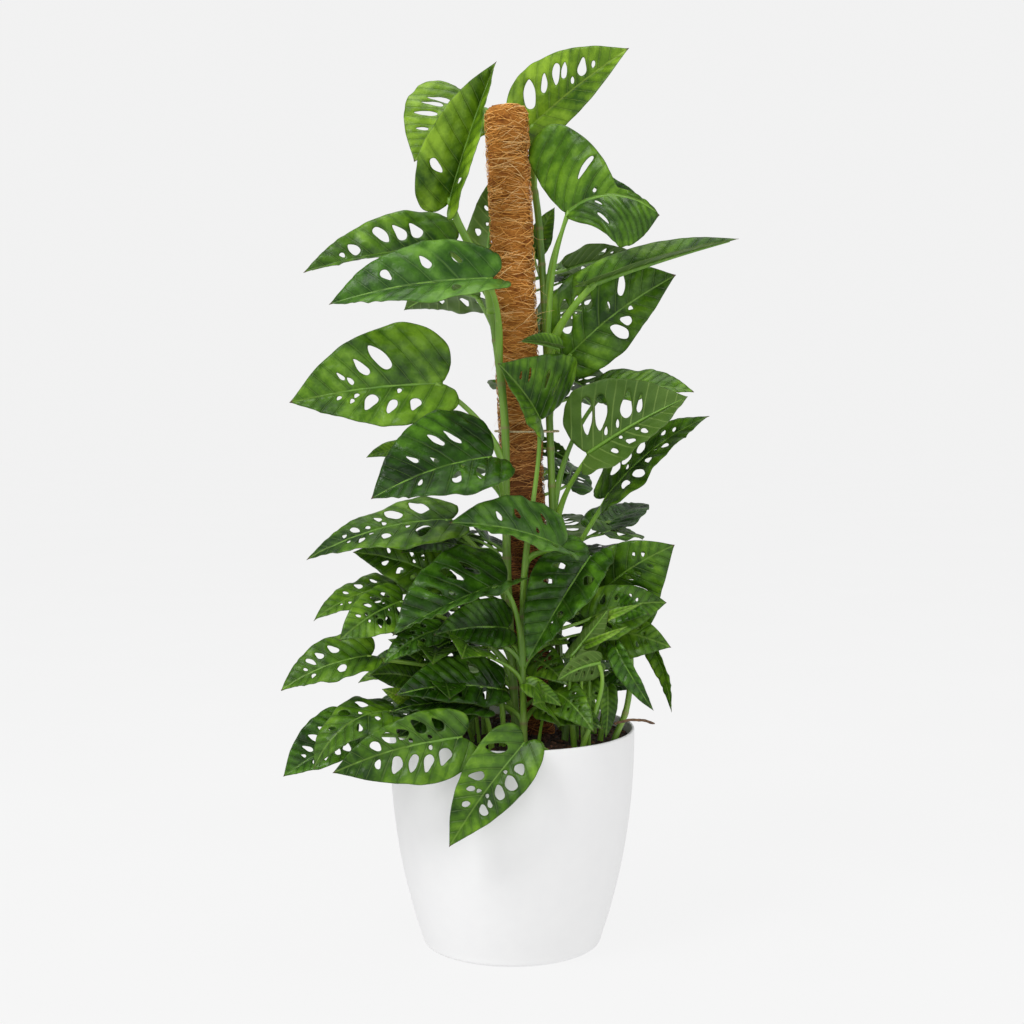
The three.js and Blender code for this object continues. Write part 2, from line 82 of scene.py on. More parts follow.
VINES = {
    "vine_left": {
        "radius": 5,
        "through": [
            (8, -46, 170), (2, -42, 260), (-4, -38, 360), (-6, -33, 450),
            (-7, -30, 530), (-14, -28, 600), (-22, -25, 655),
        ],
    },
    "vine_right": {
        "radius": 4.5,
        "through": [
            (54, 10, 170), (48, 12, 300), (42, 8, 430), (37, 8, 560),
            (31, 14, 680), (24, 24, 760), (14, 30, 800),
        ],
    },
    "vine_front": {
        "radius": 4,
        "through": [
            (13, -72, 170), (11, -70, 260), (10, -58, 330), (14, -44, 400),
        ],
    },
    "vine_rim": {
        "radius": 3.6,
        "through": [
            (94, -50, 170), (102, -50, 218), (113, -47, 245), (118, -45, 280),
            (117, -43, 322),
        ],
    },
    "vine_back": {
        "radius": 4.5,
        "through": [
            (8, 50, 170), (4, 46, 300), (-2, 40, 430), (-6, 36, 560),
            (-10, 33, 660),
        ],
    },
}

# Each leaf's look picks its colours. The dark look on leaves low in the plant or behind others is partly
# painted shade.
LEAVES = {
    "leaf_crown_right": {
        "from": ("vine_right", 770), "base": (18, 38, 832), "tip": (116, -10, 902), "face": (0, -1, 0.1),
        "half": (52, 36), "droop": 15, "fold": (5, 45), "holes": "open", "look": "bright",
    },
    "leaf_crown_left": {
        "from": ("vine_left", 640), "base": (-62, -32, 748),
        "tip": (-15, -48, 882), "face": (-0.2, -1, 0.1),
        "half": (42, 40), "droop": 25, "fold": (42, 65), "stalk": 4, "holes": "few", "look": "bright",
    },
    "leaf_crown_round": {
        "from": ("vine_back", 650), "base": (-38, 38, 852), "tip": (-98, 0, 792), "face": (-0.2, -1, 0.2),
        "half": (34, 60), "droop": 20, "fold": (15, 5), "holes": "open", "look": "bright",
    },
    "leaf_upper_heart": {
        "from": ("vine_right", 590), "base": (53, -32, 738),
        "tip": (142, -71, 732), "face": (0, -0.2, 0.97),
        "half": (69, 43), "droop": 84, "fold": (84, -62), "taper": (2.6, -0.8), "sweep": (0.12, 0.95),
        "holes": "few", "look": "mid",
    },
    "leaf_left_high": {
        "from": ("vine_back", 600), "base": (-62, -12, 707),
        "tip": (-206, -32, 680), "face": (0, -0.9, 0.4),
        "half": (30, 42), "droop": 30, "fold": (60, 12), "holes": "open", "look": "mid",
    },
    "leaf_left_front": {
        "from": ("vine_left", 590), "base": (-20, -64, 672),
        "tip": (-176, -78, 646), "face": (0, -0.9, 0.3),
        "half": (36, 44), "droop": 35, "fold": (50, 5), "taper": (-0.2, -0.3),
        "holes": "few", "look": "blue",
    },
    "leaf_left_mid": {
        "from": ("vine_left", 470), "base": (-70, -30, 571),
        "tip": (-219, -46, 552), "face": (0, -1, 0.1),
        "half": (44, 64), "droop": 20, "fold": (35, 5), "holes": "wide", "look": "mid",
    },
    "leaf_left_quilted": {
        "from": ("vine_left", 400), "base": (-20, -78, 500),
        "tip": (-133, -122, 462), "face": (-0.1, -0.85, 0.4),
        "half": (44, 62), "droop": 30, "fold": (30, 8), "holes": "few", "look": "dark",
    },
    "leaf_centre_pointed": {
        "from": ("vine_front", 392), "base": (48, -60, 411),
        "tip": (-59, -130, 440), "face": (-0.1, -0.8, 0.6),
        "half": (34, 42), "droop": 30, "fold": (40, 15), "holes": "few", "look": "blue",
    },
    "leaf_centre_broad": {
        "from": ("vine_front", 290), "base": (-6, -76, 378),
        "tip": (-113, -128, 333), "face": (-0.1, -0.85, 0.5),
        "half": (40, 54), "droop": 35, "fold": (60, 8), "holes": "few", "look": "dark",
    },
    "leaf_left_third": {
        "from": ("vine_left", 330), "base": (-61, -35, 436),
        "tip": (-201, -66, 399), "face": (-0.1, -0.5, 0.85),
        "half": (42, 42), "droop": 25, "fold": (10, 10), "taper": (0.3, 0.3),
        "holes": "open", "look": "mid",
    },
    "leaf_left_fourth": {
        "from": ("vine_left", 300), "base": (-72, -26, 378),
        "tip": (-158, -40, 404), "face": (0, -0.8, 0.6),
        "half": (28, 26), "droop": 20, "fold": (10, 20), "holes": "open", "look": "mid",
    },
    "leaf_left_fifth": {
        "from": ("vine_left", 280), "base": (-116, -34, 370),
        "tip": (-193, -80, 341), "face": (-0.1, -0.6, 0.8),
        "half": (22, 22), "droop": 30, "fold": (15, 15), "holes": "few", "look": "mid",
    },
    "leaf_left_sixth": {
        "from": ("vine_left", 260), "base": (-108, -62, 358),
        "tip": (-166, -100, 324), "face": (-0.2, -0.9, 0.3),
        "half": (28, 26), "droop": 30, "fold": (15, 15), "holes": "open", "look": "mid",
    },
    "leaf_left_seventh": {
        "from": ("vine_left", 230), "base": (-138, -75, 306),
        "tip": (-223, -96, 275), "face": (-0.1, -0.6, 0.8),
        "half": (26, 32), "droop": 30, "fold": (15, 25), "holes": "open", "look": "mid",
    },
    "leaf_left_arched": {
        "from": (-40, -70), "base": (-116, -86, 253), "tip": (-188, -130, 206), "face": (-0.4, -0.7, 0.6),
        "half": (26, 30), "droop": 85, "fold": (10, 10), "holes": "few", "look": "mid",
    },
    "leaf_left_low": {
        "from": (-60, -60), "base": (-151, -74, 229), "tip": (-221, -100, 192), "face": (-0.1, -0.9, 0.3),
        "half": (22, 36), "droop": 25, "fold": (35, 10), "holes": "open", "look": "dark",
    },
    "leaf_rim_left": {
        "from": (-30, -84), "base": (-48, -131, 237), "tip": (-169, -142, 205), "face": (-0.1, -1, 0.25),
        "half": (35, 33), "droop": 20, "fold": (10, 10), "holes": "wide", "look": "mid",
    },
    "leaf_rim_front": {
        "from": (40, -84), "base": (11, -136, 232), "tip": (-59, -152, 137), "face": (0.05, -1, 0.2),
        "half": (30, 36), "droop": 25, "fold": (30, 5), "holes": "wide", "look": "mid",
    },
    "leaf_right_dark": {
        "from": (52, -36), "base": (78, -28, 398), "tip": (14, -98, 303), "face": (-0.1, -1, 0.3),
        "half": (34, 42), "droop": 20, "fold": (45, 15), "holes": "few", "look": "dark",
    },
    "leaf_right_open": {
        "from": (84, 4), "base": (84, 0, 352), "tip": (162, -36, 411), "face": (0, -1, 0.2),
        "half": (36, 56), "droop": 50, "fold": (10, 0), "taper": (-0.2, 0.2),
        "holes": "wide", "look": "mid",
    },
    "leaf_right_pale": {
        "from": (62, -62), "base": (58, -84, 306), "tip": (94, -88, 354), "face": (0.6, 0.6, 0.1),
        "half": (14, 12), "droop": 25, "fold": (20, 20), "holes": "none", "look": "mid",
    },
    "leaf_right_hanging": {
        "from": ("vine_rim", 300), "base": (123, -46, 334),
        "tip": (158, -54, 246), "face": (-0.8, -0.6, 0.2),
        "half": (11, 11), "droop": -40, "fold": (15, 15), "holes": "none", "look": "mid",
    },
    "leaf_right_yellow": {
        "from": ("vine_rim", 290), "base": (101, -76, 314),
        "tip": (137, -94, 255), "face": (-0.3, -1, 0.1),
        "half": (9, 12), "droop": 60, "fold": (20, 30), "holes": "none", "look": "dark",
    },
    "leaf_front_small": {
        "from": ("vine_front", 240), "base": (14, -88, 281),
        "tip": (48, -98, 260), "face": (0, -0.8, 0.6),
        "half": (10, 12), "droop": 30, "fold": (20, 20), "holes": "none", "look": "mid",
    },
    "leaf_front_pale": {
        "from": (66, -80), "base": (85, -92, 302), "tip": (43, -104, 286), "face": (0, 1, 0.3),
        "half": (15, 15), "droop": 25, "fold": (10, 10), "holes": "few", "look": "mid",
    },
    "leaf_rim_right": {
        "from": (72, -44), "base": (78, -60, 277), "tip": (76, -76, 227), "face": (0, -1, 0.3),
        "half": (11, 11), "droop": 30, "fold": (20, 20), "holes": "few", "look": "mid",
    },
    "leaf_rim_corner": {
        "from": (88, -34), "base": (95, -48, 270), "tip": (92, -66, 222), "face": (0.3, -1, 0.3),
        "half": (10, 10), "droop": 30, "fold": (25, 25), "holes": "none", "look": "mid",
    },
    "leaf_right_mid": {
        "from": ("vine_right", 400), "base": (76, -36, 502),
        "tip": (171, -64, 558), "face": (0.1, 1, -0.1),
        "half": (40, 60), "droop": -20, "fold": (-45, 0), "holes": "wide", "look": "mid",
    },
    "leaf_right_mid_behind": {
        "from": ("vine_right", 420), "base": (89, 0, 562), "tip": (182, -18, 563), "face": (0, -0.6, 0.8),
        "half": (34, 20), "droop": 20, "fold": (10, 10), "holes": "none", "look": "mid",
    },
    "leaf_right_slender": {
        "from": ("vine_right", 330), "base": (95, -10, 457),
        "tip": (196, -30, 539), "face": (-0.2, -0.5, 0.9),
        "half": (40, 36), "droop": 25, "fold": (10, 15), "holes": "open", "look": "mid",
    },
    "leaf_centre_high": {
        "from": ("vine_front", 350), "base": (28, -36, 535),
        "tip": (-14, -70, 590), "face": (0.1, -1, 0.3),
        "half": (32, 70), "droop": 45, "fold": (55, 0), "taper": (0, 0.3), "holes": "few", "look": "mid",
    },
    "leaf_centre_rolled": {
        "from": ("vine_right", 560), "base": (46, -36, 606), "tip": (8, -48, 612), "face": (0, -0.7, 0.7),
        "half": (12, 12), "droop": 20, "fold": (60, 50), "holes": "none", "look": "mid",
    },
    "leaf_right_high": {
        "from": ("vine_right", 530), "base": (56, 16, 598), "tip": (165, 0, 680), "face": (0, -1, 0.1),
        "half": (60, 32), "droop": 20, "fold": (5, 15), "taper": (-0.5, 0),
        "holes": "wide", "look": "mid",
    },
    "leaf_right_edge": {
        "from": ("vine_right", 575), "base": (76, -42, 668),
        "tip": (219, -64, 710), "face": (-0.1, -0.7, 0.7),
        "half": (30, 22), "droop": 10, "fold": (10, 60), "stalk": 3.5, "holes": "none", "look": "mid",
    },
    "leaf_back_high": {
        "from": ("vine_back", 610), "base": (-28, 46, 684), "tip": (-12, 52, 795), "face": (0, 1, 0.2),
        "half": (24, 26), "droop": 20, "fold": (15, 15), "holes": "few", "look": "mid",
    },
    "leaf_low_cup": {
        "from": ("vine_front", 225), "base": (-4, -54, 330),
        "tip": (-76, -88, 328), "face": (0, -0.9, 0.4),
        "half": (22, 30), "droop": 40, "fold": (20, 20), "holes": "none", "look": "dark",
    },
    "leaf_low_long": {
        "from": (-10, -62), "base": (-12, -70, 272), "tip": (-112, -114, 274), "face": (0, -0.85, 0.5),
        "half": (20, 38), "droop": 30, "fold": (20, 5), "holes": "few", "look": "dark",
    },
    "leaf_low_flat": {
        "from": (-20, -76), "base": (-26, -84, 256), "tip": (-118, -104, 256), "face": (0, -0.35, 0.95),
        "half": (22, 22), "droop": 30, "fold": (10, 10), "holes": "none", "look": "dark",
    },
    "leaf_low_dark": {
        "from": (-40, -14), "base": (-62, -20, 312), "tip": (-116, -40, 276), "face": (0, -0.9, 0.4),
        "half": (30, 30), "droop": 30, "fold": (10, 10), "holes": "few", "look": "dark",
    },
    "leaf_back_upper": {
        "from": ("vine_back", 560), "base": (25, 70, 640),
        "tip": (112, 150, 640), "face": (-0.4, 0.5, 0.8),
        "half": (44, 44), "droop": 40, "fold": (12, 12), "holes": "open", "look": "mid",
    },
    "leaf_back_left": {
        "from": ("vine_back", 560), "base": (-34, 72, 662),
        "tip": (-118, 144, 652), "face": (0.3, 0.5, 0.8),
        "half": (38, 38), "droop": 40, "fold": (12, 12), "holes": "open", "look": "mid",
    },
    "leaf_back_mid": {
        "from": ("vine_back", 480), "base": (12, 84, 572), "tip": (30, 190, 540), "face": (0, 0.5, 0.85),
        "half": (42, 42), "droop": 40, "fold": (12, 12), "holes": "wide", "look": "mid",
    },
    "leaf_back_lower": {
        "from": ("vine_back", 400), "base": (-24, 80, 482),
        "tip": (-82, 172, 462), "face": (0, 0.5, 0.85),
        "half": (42, 42), "droop": 40, "fold": (12, 12), "holes": "open", "look": "dark",
    },
    "leaf_back_right": {
        "from": ("vine_back", 330), "base": (26, 86, 420), "tip": (70, 186, 385), "face": (0, 0.5, 0.85),
        "half": (44, 44), "droop": 40, "fold": (12, 12), "holes": "wide", "look": "mid",
    },
    "leaf_back_low_left": {
        "from": ("vine_back", 260), "base": (-40, 76, 350),
        "tip": (-116, 150, 320), "face": (-0.2, 0.5, 0.85),
        "half": (38, 38), "droop": 40, "fold": (12, 12), "holes": "open", "look": "dark",
    },
    "leaf_back_low_right": {
        "from": ("vine_back", 240), "base": (50, 74, 320),
        "tip": (96, 160, 296), "face": (0.2, 0.5, 0.85),
        "half": (38, 38), "droop": 40, "fold": (12, 12), "holes": "open", "look": "dark",
    },
    "leaf_back_rim": {
        "from": (-10, 80), "base": (-10, 112, 262), "tip": (-24, 206, 214), "face": (0, 0.6, 0.8),
        "half": (38, 38), "droop": 45, "fold": (12, 12), "holes": "open", "look": "mid",
    },
}

# Small leaves too slight for the CAD, each at its own place.
SMALL_LEAVES = {
    "small_leaf_heart_tail": {
        "from": ("vine_right", 640), "base": (84, -8, 774), "tip": (136, -18, 742), "face": (0, -0.8, 0.5),
        "half": (9, 12), "droop": 20, "fold": (25, 10), "stalk": 1.3, "holes": "none", "look": "dark",
    },
    "small_leaf_left_tip": {
        "from": ("vine_left", 440), "base": (-104, -12, 506), "tip": (-146, -18, 497), "face": (0, -0.8, 0.6),
        "half": (9, 11), "droop": 25, "fold": (20, 20), "stalk": 1.3, "holes": "none", "look": "mid",
    },
    "small_leaf_pole_right": {
        "from": ("vine_right", 660), "base": (22, 50, 706), "tip": (44, 44, 752), "face": (0, -1, 0.2),
        "half": (13, 13), "droop": 20, "fold": (15, 15), "stalk": 1.5, "holes": "none", "look": "mid",
    },
    "small_leaf_curled_left": {
        "from": ("vine_left", 270), "base": (-88, -62, 303), "tip": (-121, -76, 322), "face": (0, -0.9, 0.4),
        "half": (9, 10), "droop": 70, "fold": (30, 30), "stalk": 1.2, "holes": "none", "look": "mid",
    },
    "small_leaf_bright_left": {
        "from": (-52, -70), "base": (-102, -78, 262), "tip": (-126, -92, 276), "face": (0, -1, 0.3),
        "half": (8, 9), "droop": 40, "fold": (20, 20), "stalk": 1.2, "holes": "none", "look": "bright",
    },
    "small_leaf_strip_right": {
        "from": (76, -70), "base": (84, -74, 340), "tip": (126, -86, 358), "face": (0, -1, 0.3),
        "half": (6, 7), "droop": 60, "fold": (50, 45), "stalk": 1.3, "holes": "none", "look": "pale",
    },
    "small_leaf_strip_low": {
        "from": (70, -76), "base": (72, -84, 318), "tip": (112, -96, 338), "face": (0.1, -1, 0.2),
        "half": (6, 6), "droop": 70, "fold": (55, 50), "stalk": 1.3, "holes": "none", "look": "pale",
    },
}

# ---------------------------------------------------------------- holes and outlines of the blades
# How holed the left and the right half are, on the blades whose plan word doesn't suit both halves.
HALVES_OF = {
    "leaf_crown_right": ("wide", "none"),
    "leaf_crown_round": ("few", "open"),
    "leaf_crown_left": ("lone", "lone"),
    "leaf_upper_heart": ("lone", "lone"),
    "leaf_left_high": ("few", "open"),
    "leaf_left_front": ("lone", "few"),
    "leaf_left_mid": ("open", "wide"),
    "leaf_centre_pointed": ("lone", "few"),
    "leaf_centre_broad": ("lone", "few"),
    "leaf_left_fourth": ("open", "few"),
    "leaf_right_open": ("few", "wide"),
    "leaf_right_mid": ("few", "wide"),
    "leaf_centre_high": ("none", "few"),
}
# The holes of one half, as (how many, how long, how wide), the sizes as shares of its width and length.
HOLE_KINDS = {
    "none": (0, 0, 0),
    "lone": (1, 0.3, 0.035),
    "few": (3, 0.34, 0.042),
    "open": (4, 0.42, 0.058),
    "wide": (5, 0.48, 0.07),
}
HOLE_GAP = 1.7
HOLE_GROWTH = (1.18, 1.32)
HOLE_FITS = (1, 0.9, 0.8, 0.7, 0.6, 0.5)
HALF_OUTLINE = [
    (0.0, 0.0), (0.08, -0.035), (0.3, -0.08), (0.64, -0.07), (0.93, 0.07), (1.0, 0.24), (0.93, 0.43),
    (0.74, 0.61), (0.47, 0.78), (0.21, 0.9), (0.07, 0.962), (0.018, 0.988), (0.0, 1.0),
]
VEIN_SLANT = (0.55, 0.35)
VEIN_CURVE = 0.12
VEIN_SPACING = 0.105
OUTLINE_STEP = 2.4 if FINE else 4.0
ACROSS_STEP = 2.6 if FINE else 5.0
ROWS_PER_VEIN = 5 if FINE else 3
BLADE_HALF_THICKNESS = 0.45
# Each leaf and stem draws from its own numbers, counted on from these.
FIRST_SEEDS = {"leaf": 100, "small": 300, "fill": 500, "vine": 70}


def unit(v):
    return v / np.linalg.norm(v)


def smoothstep(low, high, v):
    t = np.clip((v - low) / (high - low), 0, 1)
    return t * t * (3 - 2 * t)


def catmull(points, per_span):
    """A smooth open line through points, with per_span steps between each pair."""
    p = np.asarray(points, float)
    p = np.vstack([2 * p[0] - p[1], p, 2 * p[-1] - p[-2]])
    t = np.linspace(0, 1, per_span, endpoint=False)[:, None]
    spans = []
    for a, b, c, d in zip(p, p[1:], p[2:], p[3:]):
        square = (2 * a - 5 * b + 4 * c - d) * t**2
        cube = (3 * b - a - 3 * c + d) * t**3
        spans.append(0.5 * (2 * b + (c - a) * t + square + cube))
    return np.vstack(spans + [p[-2][None]])


def resample(line, step):
    """Points evenly spaced about step apart along a line, keeping its ends."""
    at = np.concatenate([[0], np.cumsum(np.linalg.norm(np.diff(line, axis=0), axis=1))])
    count = max(2, int(round(at[-1] / step)) + 1)
    wanted = np.linspace(0, at[-1], count)
    return np.stack([np.interp(wanted, at, line[:, k]) for k in range(line.shape[1])], 1)


def inside(points, polygon):
    """Which points lie in a polygon, by counting crossings."""
    x, y = points[:, 0:1], points[:, 1:2]
    a, b = polygon, np.roll(polygon, -1, 0)
    crosses = (a[:, 1] > y) != (b[:, 1] > y)
    at = (b[:, 0] - a[:, 0]) * (y - a[:, 1]) / (b[:, 1] - a[:, 1] + 1e-12) + a[:, 0]
    return (np.sum(crosses & (x < at), axis=1) % 2) == 1


def nearest(points, others):
    """Each point's distance to the nearest of others."""
    best = np.full(len(points), 1e9)
    for start in range(0, len(others), 256):
        chunk = others[start : start + 256]
        best = np.minimum(best, np.linalg.norm(points[:, None] - chunk[None], axis=2).min(1))
    return best


# ---------------------------------------------------------------- the blade's frame, as in the CAD
def blade_frame(leaf):
    base = np.array(leaf["base"], float)
    chord = np.array(leaf["tip"], float) - base
    span = np.linalg.norm(chord)
    along = chord / span
    face = np.array(leaf["face"], float)
    up = unit(face - face.dot(along) * along)
    droop = math.radians(leaf["droop"] or 0.1)
    length = span * droop / 2 / math.sin(droop / 2)
    right = np.cross(along, up)
    return {"base": base, "along": along, "up": up, "right": right, "droop": droop, "length": length}


def blade_points(leaf, f, x, y, lift):
    """Points of the bent and folded blade.

    x is across in mm, below 0 on the left half; y is a share of its length; lift is mm off its face.
    """
    side = np.where(x >= 0, 1.0, -1.0)
    which = (x >= 0).astype(int)
    across = np.abs(x)
    droop, length = f["droop"], f["length"]
    bend = droop / length
    run = np.maximum(y, 0) * length
    before = np.minimum(y, 0) * length
    slope = droop / 2 - bend * run
    forward = (math.sin(droop / 2) - np.sin(slope)) / bend + before * math.cos(droop / 2)
    rise = (np.cos(slope) - math.cos(droop / 2)) / bend + before * math.sin(droop / 2)
    normal = np.cos(slope)[:, None] * f["up"] - np.sin(slope)[:, None] * f["along"]
    half = np.array(leaf["half"], float)[which]
    angle = np.radians(np.array(leaf["fold"], float)[which] + 0.5 * CURL * across / half)
    tilt = angle * np.minimum(1, across / EDGE_BLEND)
    return (
        f["base"]
        + forward[:, None] * f["along"]
        + rise[:, None] * f["up"]
        + (side * (across * np.cos(angle) - lift * np.sin(tilt)))[:, None] * f["right"]
        + (across * np.sin(angle) + lift * np.cos(tilt))[:, None] * normal
    )


# ---------------------------------------------------------------- flat blades
def per_side(leaf, name):
    return leaf.get(name, (0, 0))


def width_at(leaf, side, y):
    taper = per_side(leaf, "taper")[side]
    return leaf["half"][side] * np.maximum(LEAST_WIDTH, 1 - taper * (y - WIDEST))


def half_outline(leaf, length, side, rng):
    line = catmull(HALF_OUTLINE, 8)
    wobble = sum(
        rng.uniform(-1, 1) * np.sin(2 * math.pi * (k * line[:, 1] + rng.random())) / k**0.7
        for k in range(2, 9)
    )
    x = line[:, 0] * width_at(leaf, side, line[:, 1]) * (1 + 0.024 * wobble)
    return np.stack([x, line[:, 1] * length], 1)


def hole_loop(leaf, length, side, hole, rng):
    y, x, long, wide = hole
    half = float(width_at(leaf, side, y))
    slant = VEIN_SLANT[0] + VEIN_SLANT[1] * y + rng.uniform(-0.06, 0.06)
    out = unit(np.array([1.0, slant]))
    square = np.array([-out[1], out[0]])
    centre = np.array([x * half, y * length])
    a = HOLE_GROWTH[0] * long * half / 2
    b = HOLE_GROWTH[1] * wide * length / 2
    count = max(11, int(2 * math.pi * max(a, b) / (OUTLINE_STEP * 0.8)))
    t = np.linspace(0, 2 * math.pi, count, endpoint=False)
    c, s = np.cos(t), np.sin(t)
    pointed = rng.choice((0.5, 0.35, -0.3))
    skew = rng.uniform(-0.25, 0.25)
    swell = (1 - pointed * c) * (1 + 0.1 * np.sin(3 * t + rng.uniform(0, 6)))
    ring = centre + (a * (c + skew * s * b / a))[:, None] * out + (b * s * swell)[:, None] * square
    return ring


def grown_holes(kind, rng):
    """Random holes for one half of a blade, some with a small one by the midrib."""
    count, long, wide = HOLE_KINDS[kind]
    holes = []
    for i in range(count):
        y = 0.12 + 0.56 * (i + rng.uniform(0.25, 0.75)) / max(count, 3)
        if rng.random() < 0.12:
            continue
        shrink = (1 - 0.5 * smoothstep(0.35, 0.75, y)) * rng.uniform(0.65, 1.15)
        across = (0.5 - 0.28 * smoothstep(0.3, 0.75, y)) * rng.uniform(0.88, 1.1)
        holes.append((y, across, long * shrink, wide * shrink * rng.uniform(0.8, 1.25)))
        if rng.random() < 0.35:
            holes.append((y + 0.08, 0.15, 0.12, 0.022))
    return holes


class Flat:
    """A blade laid flat: its outline, holes, veins and triangles, x across in mm and y along in mm."""

    def __init__(self, name, leaf, frame_of, rng):
        self.leaf = leaf
        self.length = frame_of["length"]
        kinds = HALVES_OF.get(name, (leaf["holes"], leaf["holes"]))
        holes = [grown_holes(kind, rng) for kind in kinds]
        right = resample(half_outline(leaf, self.length, 1, rng), OUTLINE_STEP)
        left = resample(half_outline(leaf, self.length, 0, rng), OUTLINE_STEP)[::-1] * [-1, 1]
        self.outline = np.vstack([right[:-1], left[:-1]])
        self.loops = []
        self.vein_nodes = []
        for side, sign in ((0, -1), (1, 1)):
            origins = []
            for hole in holes[side]:
                ring = self.fitted(hole_loop(leaf, self.length, side, hole, rng) * [sign, 1])
                if ring is None:
                    continue
                self.loops.append(ring if sign > 0 else ring[::-1])
                centre = np.array([[hole[1] * leaf["half"][side], hole[0] * self.length]])
                origins.append(self.origin_share(centre)[0])
            self.vein_nodes.append(self.vein_scale(sorted(origins)))
        self.make_triangles(rng)

    def fitted(self, ring):
        """The hole, made smaller until it lies clear of the outline and of the other holes, or None."""
        centre = ring.mean(0)
        for size in HOLE_FITS:
            smaller = centre + (ring - centre) * size
            clear = all(nearest(smaller, other).min() > HOLE_GAP for other in self.loops + [self.outline])
            if clear and inside(smaller, self.outline).all() and not self.in_a_hole(smaller[:1]):
                return smaller
        return None

    def in_a_hole(self, points):
        return any(inside(points, loop).any() for loop in self.loops)

    def origin_share(self, points):
        """Where the side vein through a point leaves the midrib, as a share of the length."""
        across = np.abs(points[:, 0])
        half = np.array(self.leaf["half"], float)[(points[:, 0] >= 0).astype(int)]
        rest = points[:, 1] - VEIN_SLANT[0] * across - VEIN_CURVE * across**2 / half
        return rest / (self.length + VEIN_SLANT[1] * across)

    @staticmethod
    def vein_scale(origins):
        """(shares, numbers): the side veins are the whole numbers, and each hole lies halfway between two."""
        kept = []
        for o in origins:
            if not kept or o - kept[-1] > 0.6 * VEIN_SPACING:
                kept.append(o)
        numbers = []
        for i, o in enumerate(kept):
            gap = 0 if i == 0 else max(1, round((o - kept[i - 1]) / (1.35 * VEIN_SPACING)))
            numbers.append(0.5 if i == 0 else numbers[-1] + gap)
        if not kept:
            kept, numbers = [0.1], [0.5]
        low = [kept[0] - VEIN_SPACING * k for k in (12, 0.5)]
        high = [kept[-1] + VEIN_SPACING * k for k in (0.5, 14)]
        return (
            np.array([low[0]] + kept + [high[1]]),
            np.array([numbers[0] - 12] + numbers + [numbers[-1] + 14]),
        )

    def veins(self, points):
        origin = self.origin_share(points)
        left = np.interp(origin, *self.vein_nodes[0])
        right = np.interp(origin, *self.vein_nodes[1])
        return np.where(points[:, 0] >= 0, right, left)

    def rows(self, side, rng):
        """Points along the side veins and between them, on one half."""
        sign = 1 if side else -1
        shares, numbers = self.vein_nodes[side]
        wide = max(abs(self.outline[:, 0]))
        found = []
        for p in np.arange(numbers[0], numbers[-1], 1 / ROWS_PER_VEIN):
            y0 = np.interp(p, numbers, shares)
            if not -0.6 < y0 < 1:
                continue
            x = np.arange(ACROSS_STEP * 0.8, wide, ACROSS_STEP) + rng.uniform(-0.2, 0.2)
            slant = (VEIN_SLANT[0] + VEIN_SLANT[1] * y0) * x
            y = y0 * self.length + slant + VEIN_CURVE * x**2 / self.leaf["half"][side]
            found.append(np.stack([sign * x, y], 1))
        return np.vstack(found)

    def make_triangles(self, rng):
        midrib = resample(np.array([[0.0, 0.0], [0.0, self.length]]), OUTLINE_STEP)[1:-1]
        beside = [midrib + [offset, 0] for offset in (-1.3, 1.3)]
        borders = np.vstack([self.outline] + self.loops)
        grid = np.vstack([self.rows(0, rng), self.rows(1, rng)])
        grid = grid[np.abs(grid[:, 0]) > 2.2]
        grid = np.vstack([grid] + beside)
        keep = inside(grid, self.outline) & (nearest(grid, borders) > 0.5 * OUTLINE_STEP)
        for loop in self.loops:
            keep &= ~inside(grid, loop)
        grid = grid[keep]
        midrib = midrib[nearest(midrib, borders) > 0.3 * OUTLINE_STEP]
        points = np.vstack([self.outline, *self.loops, midrib, grid])
        edges = []
        start = 0
        for loop in [self.outline, *self.loops]:
            count = len(loop)
            edges += [(start + i, start + (i + 1) % count) for i in range(count)]
            start += count
        edges += [(start + i, start + i + 1) for i in range(len(midrib) - 1)]
        made = delaunay_2d_cdt([tuple(p) for p in points], edges, [], 0, 1e-4)
        self.points = np.array([tuple(p) for p in made[0]])
        faces = np.array([f for f in made[2] if len(f) == 3])
        centre = self.points[faces].mean(1)
        keep = inside(centre, self.outline)
        for loop in self.loops:
            keep &= ~inside(centre, loop)
        faces = faces[keep]
        a, b, c = (self.points[faces[:, k]] for k in range(3))
        area = (b[:, 0] - a[:, 0]) * (c[:, 1] - a[:, 1]) - (b[:, 1] - a[:, 1]) * (c[:, 0] - a[:, 0])
        faces = faces[np.abs(area) > 1e-4]
        flip = area[np.abs(area) > 1e-4] < 0
        faces[flip] = faces[flip][:, [0, 2, 1]]
        used = np.unique(faces)
        place = np.full(len(self.points), -1)
        place[used] = np.arange(len(used))
        self.points = self.points[used]
        self.faces = place[faces]
        self.edge = nearest(self.points, borders)


